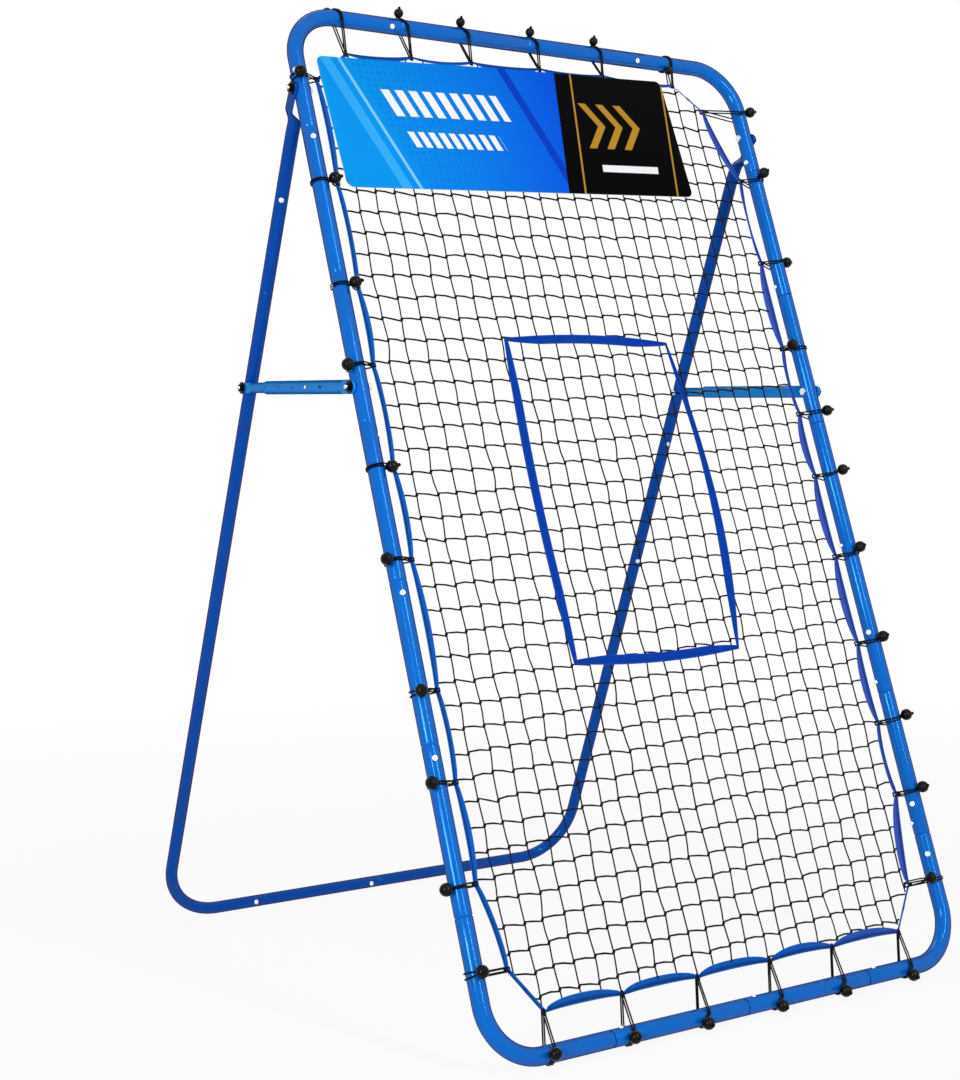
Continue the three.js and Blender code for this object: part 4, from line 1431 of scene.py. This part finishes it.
def bow_at(side, along):
    """How far the webbing bows in at a height or an x on that side."""
    axis = 1 if side in ("left", "right") else 0
    ties = sorted(tie_places()[side], key=lambda tie: tie[axis])
    for start, end in zip(ties, ties[1:]):
        if start[axis] <= along <= end[axis]:
            share = (along - start[axis]) / (end[axis] - start[axis])
            return BOWS[side] * 4 * share * (1 - share)
    return 0.0


class NetField:
    """Where the net's threads run: an even grid, drawn in by the webbing, with slack knots."""

    def __init__(self, columns, rows):
        self.low = Vector((GAP_LEFT - RAIL_X, GAP_BOTTOM))
        self.size = Vector((2 * RAIL_X - GAP_LEFT - GAP_RIGHT, RISE - GAP_NET_TOP - GAP_BOTTOM))
        self.columns, self.rows = columns, rows
        rng = random.Random(23)
        # A row more at each end, because the rows climb out of the hem at the sides
        self.levels = range(-1, rows + 2)
        self.slack = {
            (i, j): Vector([rng.gauss(0, stray) for stray in KNOT_STRAY])
            for i in range(columns + 1)
            for j in self.levels
        }

    def knot(self, i, j):
        """The place of a knot: x, up and out."""
        x = self.low.x + self.size.x * i / self.columns
        up = self.low.y + self.size.y * j / self.rows
        up += NET_CLIMB * x + NET_CLIMB_GROWTH * x * x
        right, top = self.low.x + self.size.x, self.low.y + self.size.y
        drawn_x = bow_at("left", up) * math.exp(-(x - self.low.x) / DRAWN_SIDE)
        drawn_x -= bow_at("right", up) * math.exp(-(right - x) / DRAWN_SIDE)
        drawn_up = bow_at("bottom", x) * math.exp(-(up - self.low.y) / DRAWN_END)
        drawn_up -= bow_at("top", x) * math.exp(-(top - up) / DRAWN_END)
        # The lower rows are slacker
        slack = self.slack[(i, j)] * (1 + 0.8 * (1 - j / self.rows) ** 2)
        return Vector((x + drawn_x + slack.x, up + drawn_up + slack.y, slack.z))

    def strand(self, spots, level):
        """A strand's way through knots: a level one enters each knot low and leaves it high."""
        points = []
        for spot in spots:
            knot = self.knot(*spot)
            if points:
                points.append((points[-1] + knot) / 2 + self.slack[spot] * 0.45)
            points += [knot - KNOT_STEP, knot + KNOT_STEP] if level else [knot]
        return points


def clipped_runs(points, line):
    """The stretches of a strand that lie inside a closed line, cut exactly at it."""

    def crossing(near, far):
        for _ in range(10):
            half = (near + far) / 2
            near, far = (half, far) if inside(line, half.x, half.y) else (near, half)
        return near

    runs, run = [], []
    held = [inside(line, point.x, point.y) for point in points]
    for k, point in enumerate(points):
        if held[k]:
            if not run and k:
                run.append(crossing(point, points[k - 1]))
            run.append(point)
        elif run:
            run.append(crossing(points[k - 1], point))
            runs.append(run)
            run = []
    if run:
        runs.append(run)
    return [run for run in runs if len(run) > 1]


def cord_curve(name, runs, diameter, sides_step):
    """Round cord along lists of world points, as one mesh with its length in metres as UV."""
    curve = bpy.data.curves.new(name, "CURVE")
    curve.dimensions = "3D"
    curve.bevel_depth = diameter / 2
    curve.bevel_resolution = sides_step
    curve.use_fill_caps = True
    for run in runs:
        spline = curve.splines.new("POLY")
        spline.points.add(len(run) - 1)
        for point, place in zip(spline.points, run):
            point.co = (*place, 1.0)
    item = bpy.data.objects.new(name, curve)
    bpy.context.collection.objects.link(item)
    only(item)
    bpy.ops.object.convert(target="MESH")
    item = named(name)
    lengthen_uv(item, runs, diameter)
    bpy.ops.object.shade_smooth()
    return item


def lengthen_uv(item, runs, diameter):
    """Scales a converted cord's UV map from shares to metres along it and round it."""
    layers = item.data.uv_layers
    layer = layers.active or layers.new(name="UVMap")
    layer.name = "UVMap"
    mean_length = sum(sum((b - a).length for a, b in zip(run, run[1:])) for run in runs) / len(runs)
    for entry in layer.data:
        entry.uv = (entry.uv[0] * mean_length, entry.uv[1] * math.pi * diameter)


def net_knots(spots, length):
    """A lumpy knot on each spot, as instances made real and joined."""
    deselect()
    bpy.ops.mesh.primitive_ico_sphere_add(subdivisions=1, radius=length / 2)
    master = named("knot")
    modify(master, "BEVEL", width=0.16 * length, segments=1, limit_method="NONE")
    ahead = (X_AXIS * KNOT_STEP.x + SLOPE * KNOT_STEP.y).normalized()
    master.data.transform(Matrix.Diagonal(KNOT_SHAPE))
    master.data.transform(placing(Vector(), ahead.cross(OUT), -OUT, ahead))
    points = bpy.data.meshes.new("knot_places")
    points.from_pydata(spots, [], [])
    holder = bpy.data.objects.new("knot_places", points)
    bpy.context.collection.objects.link(holder)
    master.parent = holder
    holder.instance_type = "VERTS"
    only(holder)
    bpy.ops.object.duplicates_make_real()
    copies = [item for item in bpy.context.selected_objects if item is not holder]
    for item in copies:
        item.parent = None
    dropped(holder)
    dropped(master)
    only(*copies)
    bpy.ops.object.make_single_user(object=True, obdata=True)
    bpy.ops.object.join()
    item = named("net_knots")
    bpy.ops.object.transform_apply(location=True, rotation=True, scale=True)
    return smooth(item, 80)


class REBOUNDER_OT_net(bpy.types.Operator):
    """Models the knotted net from single strands and one knot copied to each crossing"""

    bl_idname = "rebounder.net"
    bl_label = "Net"

    def execute(self, context):
        sizes = context.scene.rebounder_sizes
        field = NetField(sizes.net_columns, sizes.net_rows)
        line = hem_middle_line()
        upright = [[(i, j) for j in field.levels] for i in range(1, field.columns)]
        level = [[(i, j) for i in range(field.columns + 1)] for j in field.levels]
        strands = []
        for spots_of, levelled, share in ((upright, False, UPRIGHT_SHARE), (level, True, LEVEL_SHARE)):
            runs = []
            for spots in spots_of:
                runs += clipped_runs(field.strand(spots, levelled), line)
            world = [[on_plane(*point) for point in run] for run in runs]
            strands.append(cord_curve("strands", world, sizes.twine * share, 1))
        twine = joined(strands, "net_twine")
        dressed(twine, "twisted_twine", "net_twine", "front_frame", ("net",))
        knots = [field.knot(i, j) for i in range(1, field.columns) for j in field.levels]
        spots = [on_plane(*knot) for knot in knots if inside(line, knot.x, knot.y)]
        dressed(net_knots(spots, sizes.knot), "twisted_twine", "net_twine", "front_frame", ("net",))
        return {"FINISHED"}


def tie_frame(side, place):
    """A tie's rail point, way to the net, gap to the webbing, and way along the rail."""
    upright = side in ("left", "right")
    if upright:
        rail = Vector((math.copysign(RAIL_X, place.x), place.y))
    else:
        rail = Vector((place.x, RISE if side == "top" else 0.0))
    inwards = INWARDS[side]
    to_net = X_AXIS * inwards.x + SLOPE * inwards.y
    return on_plane(rail.x, rail.y), to_net, (place - rail).length, to_net.cross(OUT)


def arc(radius, start, end, steps):
    """Points on a circle in a tie's plane, from one angle to another."""
    turns = stretch(start, end, steps)
    return [Vector((radius * math.cos(turn), radius * math.sin(turn))) for turn in turns]


def tie_strands(ball_angle, gap, band, radius, out, bulb):
    """The two ways that a tie's cord takes from its ball round the rail and round the webbing."""
    leave = math.acos(min(0.99, radius / gap))
    ball = Vector((math.cos(ball_angle), math.sin(ball_angle)))
    neck = ball * (out - 0.5 * bulb)
    tip = Vector((gap + band + TIE_PAST_BAND, CLOTH_DEPTH))
    over, under = (
        [Vector((gap - MM, lie)), Vector((gap + band, lie)), tip] for lie in (OVER_WEBBING, UNDER_WEBBING)
    )
    # The cord starts just beside the ball, and leaves the rail where it runs straight to the webbing
    if ball_angle > BALL_INSIDE:
        front = arc(radius, ball_angle - 0.12, min(leave, ball_angle - 0.3), 14)
        back = arc(radius, ball_angle + 0.12, 2 * math.pi - leave, 20)
    else:
        # From a ball on the inner side, one pair goes right round the rail and the other straight across
        front = arc(radius, 2 * math.pi + ball_angle - 0.2, leave, 30)
        back = [ball * out * 0.8 + (under[0] - ball * out) * 0.5]
    return [neck, *front, *over], [neck, *back, *under]


def tie_ball(name, radius):
    """A ball with a small dimple at each end of its hole, which runs along Z."""
    deselect()
    bpy.ops.mesh.primitive_uv_sphere_add(segments=28, ring_count=18, radius=radius)
    named(name)
    opened()
    for hand in (-1, 1):
        choose(lambda corner: corner.z * hand > 0.955 * radius, "FACE")
        bpy.ops.mesh.inset(thickness=0.6 * MM)
        bpy.ops.transform.translate(value=(0, 0, -hand * 1.8 * MM))
    return smooth(closed(), 40)


def cord_knot(spot, size):
    """A small uneven knot of cord at a place."""
    deselect()
    bpy.ops.mesh.primitive_ico_sphere_add(subdivisions=2, radius=size)

    def uneven(point):
        lump = math.sin(900 * point.x + 1400 * point.y) * math.cos(1100 * point.z)
        return point * (1 + 0.22 * lump)

    item = moved(bpy.context.object, uneven)
    item.data.transform(Matrix.Translation(spot))
    return smooth(item, 80)


def build_tie(name, side, place, ball_degrees, band, rng):
    """One elastic tie: two pairs of cord round the rail, a ball, its end knot and a knot at the hem."""
    sizes = bpy.context.scene.rebounder_sizes
    origin, to_net, gap, along = tie_frame(side, place)
    radius = RAIL_RADIUS + SWAGE_GAP + sizes.cord / 2
    bulb = sizes.ball / 2 * (TOP_BALL_SHARE if side == "top" else 1.0)
    out = RAIL_RADIUS + SWAGE_GAP + sizes.cord + bulb - BALL_SUNK
    angle = math.radians(ball_degrees)
    apart = TIE_APART[side]
    skew = rng.uniform(-TIE_STRAY, TIE_STRAY) + TIE_SKEWS[side]

    def world(point, shift):
        return origin + to_net * point.x + OUT * point.y + along * shift

    runs = []
    for path, spread in zip(tie_strands(angle, gap, band, radius, out, bulb), TIE_SPREADS[side]):
        spread *= rng.uniform(0.8, 1.3)
        for hand in (-1, 1):
            run = []
            for point, share in zip(path, stretch(0.0, 1.0, len(path) - 1)):
                ends = CORD_START + (apart - CORD_START) * share
                shift = hand * (ends + (spread - ends) * math.sin(math.pi * share) ** 0.8)
                run.append(world(point, shift + skew * (1 - share)))
            runs.append(run)
    tip = Vector((gap + band + TIE_PAST_BAND, CLOTH_DEPTH))
    runs.append([world(tip, (apart + MM) * turn) for turn in (-1, -0.5, 0, 0.5, 1)])
    cords = cord_curve(f"{name}_cord", runs, sizes.cord, 2)

    way = to_net * math.cos(angle) + OUT * math.sin(angle)
    centre = origin + way * out + along * skew
    ball = tie_ball(f"{name}_ball", bulb)
    ball.data.transform(Matrix.Translation(centre) @ turned_to(way).to_matrix().to_4x4())
    end_knot = cord_knot(centre + way * (bulb + 0.5 * MM), 0.3 * bulb)
    hem_knot = cord_knot(world(Vector((gap - 2 * MM, CLOTH_DEPTH + 2 * MM)), 0), 0.26 * bulb)
    parts = (cords, ball, end_knot, hem_knot)
    for part in parts:
        part.data.materials.append(finish("moulded_ball" if part == ball else "elastic_cord"))
    return joined(parts, name)


class REBOUNDER_OT_ties(bpy.types.Operator):
    """Models the elastic ties with their balls all round the frame"""

    bl_idname = "rebounder.ties"
    bl_label = "Ball Ties"

    def execute(self, context):
        rng = random.Random(31)
        for side, places in tie_places().items():
            balls = BALLS[side][::-1] if side in ("right", "bottom") else BALLS[side]
            for i, (place, angle) in enumerate(zip(places, balls)):
                name = f"{side}_ball_tie_{i + 1}"
                band = WIDTH_SHARES[side][0] * context.scene.rebounder_sizes.webbing
                item = build_tie(name, side, place, angle, band, rng)
                nodes = (f"bottom_tie_{i + 1}",) if side == "bottom" else ()
                dressed(item, None, "tie_rubber", "front_frame", nodes)
        return {"FINISHED"}


class REBOUNDER_OT_sign(bpy.types.Operator):
    """Models the printed board that hangs in front of the net's top"""

    bl_idname = "rebounder.sign"
    bl_label = "Sign"

    def execute(self, context):
        width = 2 * RAIL_X - sum(SIGN_GAPS)
        centre = Vector(((SIGN_GAPS[0] - SIGN_GAPS[1]) / 2, RISE - SIGN_BELOW_TOP))
        deselect()
        bpy.ops.mesh.primitive_plane_add(size=1)
        item = named("sign_board")
        item.data.transform(Matrix.Diagonal((width, SIGN_HEIGHT, 1, 1)))
        opened()
        choose(lambda corner: True, "VERT")
        bpy.ops.mesh.bevel(offset=SIGN_CORNER, segments=10, affect="VERTICES")
        for cut in stretch(-width / 2, width / 2, SIGN_STRIPS)[1:-1]:
            bpy.ops.mesh.select_all(action="SELECT")
            bpy.ops.mesh.bisect(plane_co=(cut, 0, 0), plane_no=(1, 0, 0))
        closed()
        layer = item.data.uv_layers.get("UVMap") or item.data.uv_layers.new(name="UVMap")
        for loop in item.data.loops:
            spot = item.data.vertices[loop.vertex_index].co
            layer.data[loop.index].uv = (spot.x + width / 2, spot.y + SIGN_HEIGHT / 2)
        for material in ("printed_board", "board_core"):
            item.data.materials.append(finish(material))
        rims = {"material_offset_rim": 1, "material_offset": 1}
        modify(item, "SOLIDIFY", thickness=SIGN_THICKNESS, offset=0, **rims)
        bevelled(item, 0.35 * MM, 2, 50)

        def placed(point):
            turn = 2.4 * math.pi * point.x / width
            wave = SIGN_WAVE * math.cos(turn) * (0.6 + point.y / SIGN_HEIGHT)
            spot = centre + Matrix.Rotation(-SIGN_TURN, 2) @ point.to_2d()
            return on_plane(spot.x, spot.y, SIGN_DEPTH + point.z + wave + SIGN_WAVE)

        moved(item, placed)
        smooth(item, 40)
        dressed(item, None, "sign_panel", "front_frame", ("sign_panel",))
        return {"FINISHED"}


def shown_white(tree, share):
    """The share of white that the camera, mirrors and glass see: other rays get none."""
    rays = add_node(tree, "LightPath").outputs
    sharp = computed(tree, "MAXIMUM", rays["Is Glossy Ray"], rays["Is Transmission Ray"])
    return product(tree, computed(tree, "MAXIMUM", rays["Is Camera Ray"], sharp), share)


def pale_floor():
    """A pale floor that keeps the object's shadow and runs out into white."""
    material, tree = new_material("pale_floor")
    place = object_place(tree)
    cloud = speckle(tree, place, 400 * MM)
    pale = mixed(tree, cloud, opaque((0.86, 0.86, 0.87)), opaque((0.9, 0.9, 0.91)))
    looks = {"Base Color": pale, "Roughness": 0.8, "Specular IOR Level": 0.1}
    shader = add_node(tree, "BsdfPrincipled", looks)
    white = add_node(tree, "Emission", {"Color": opaque((1, 1, 1)), "Strength": 1.0})
    # The white takes over away from the object, so that no horizon shows
    apart = add_node(tree, "VectorMath", {0: place}, operation="LENGTH").outputs["Value"]
    seen = shown_white(tree, ranged(tree, apart, 0.9, 1.0, 1.2, 4.5))
    both = add_node(tree, "MixShader", {0: seen, 1: shader.outputs[0], 2: white.outputs[0]})
    add_node(tree, "OutputMaterial", {"Surface": both.outputs[0]})
    return material


def soft_lamp(name, place, aim, width, height, energy):
    """A soft light that looks at a point."""
    data = bpy.data.lights.new(name, "AREA")
    data.shape = "RECTANGLE"
    data.size = width
    data.size_y = height
    data.energy = energy
    lamp = bpy.data.objects.new(name, data)
    lamp.location = place
    lamp.rotation_euler = (Vector(aim) - Vector(place)).to_track_quat("-Z", "Y").to_euler()
    bpy.context.collection.objects.link(lamp)


def photo_camera():
    """The camera that saw the photograph."""
    data = bpy.data.cameras.new("photo_camera")
    data.lens = LENS
    data.sensor_width = SENSOR
    data.clip_end = 100
    camera = bpy.data.objects.new("photo_camera", data)
    flat = math.cos(CAMERA_PITCH)
    ahead = Vector((-math.sin(CAMERA_YAW) * flat, math.cos(CAMERA_YAW) * flat, math.sin(CAMERA_PITCH)))
    level = Vector((math.cos(CAMERA_YAW), math.sin(CAMERA_YAW), 0))
    side = level * math.cos(CAMERA_ROLL) + level.cross(ahead) * math.sin(CAMERA_ROLL)
    camera.matrix_world = placing(CAMERA_PLACE, side, side.cross(ahead), -ahead)
    bpy.context.collection.objects.link(camera)
    return camera


class REBOUNDER_OT_stage(bpy.types.Operator):
    """Sets up the floor, the soft lights, the white surroundings and the camera"""

    bl_idname = "rebounder.stage"
    bl_label = "Stage"

    def execute(self, context):
        scene = context.scene
        deselect()
        bpy.ops.mesh.primitive_plane_add(size=60)
        floor = named("studio_floor")
        floor.data.materials.append(pale_floor())
        floor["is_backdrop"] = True
        # The key light is a tall strip, so that its line runs down the whole of a rail
        soft_lamp("key_light", (0.3, -5.2, 4.0), (0, 0, 1.0), 0.5, 5.0, 170)
        soft_lamp("fill_light", (-4.4, -2.6, 2.0), (0, 0, 1.0), 1.2, 1.2, 105)
        soft_lamp("top_light", (0.5, 2.5, 5.2), (0, 0, 0.8), 2.4, 2.4, 45)
        world = bpy.data.worlds.new("studio")
        world.use_nodes = True
        tree = world.node_tree
        tree.nodes.clear()
        strength = ranged(tree, shown_white(tree, 1.0), 0.22, 1.0)
        light = add_node(tree, "Background", {"Color": opaque((1, 1, 1)), "Strength": strength})
        add_node(tree, "OutputWorld", {"Surface": light.outputs[0]})
        scene.world = world
        scene.view_settings.view_transform = "Standard"
        scene.camera = photo_camera()
        return {"FINISHED"}


OPERATORS = (
    REBOUNDER_OT_stage,
    REBOUNDER_OT_front_frame,
    REBOUNDER_OT_rear_frame,
    REBOUNDER_OT_snap_buttons,
    REBOUNDER_OT_bolts,
    REBOUNDER_OT_struts,
    REBOUNDER_OT_net,
    REBOUNDER_OT_hems,
    REBOUNDER_OT_target,
    REBOUNDER_OT_ties,
    REBOUNDER_OT_sign,
)


class REBOUNDER_PT_panel(bpy.types.Panel):
    """Lists the object's sizes, colours and pieces"""

    bl_idname = "REBOUNDER_PT_panel"
    bl_label = "Rebounder Net"
    bl_space_type = "VIEW_3D"
    bl_region_type = "UI"
    bl_category = "Rebounder"

    def draw(self, context):
        for group in (context.scene.rebounder_sizes, context.scene.rebounder_colours):
            column = self.layout.column()
            for name in group.__annotations__:
                column.prop(group, name)
        for operator in OPERATORS:
            self.layout.operator(operator.bl_idname)


CLASSES = (RebounderSizes, RebounderColours, *OPERATORS, REBOUNDER_PT_panel)


def register():
    for each in CLASSES:
        bpy.utils.register_class(each)
    bpy.types.Scene.rebounder_sizes = PointerProperty(type=RebounderSizes)
    bpy.types.Scene.rebounder_colours = PointerProperty(type=RebounderColours)


def unregister():
    del bpy.types.Scene.rebounder_colours
    del bpy.types.Scene.rebounder_sizes
    for each in reversed(CLASSES):
        bpy.utils.unregister_class(each)


def main():
    register()
    for operator in OPERATORS:
        group, name = operator.bl_idname.split(".")
        getattr(getattr(bpy.ops, group), name)()
    boxes = {"cad": cad_box, "visual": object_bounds()}
    {key: [list(corner) for corner in box] for key, box in boxes.items()}


if __name__ == "__main__":
    main()
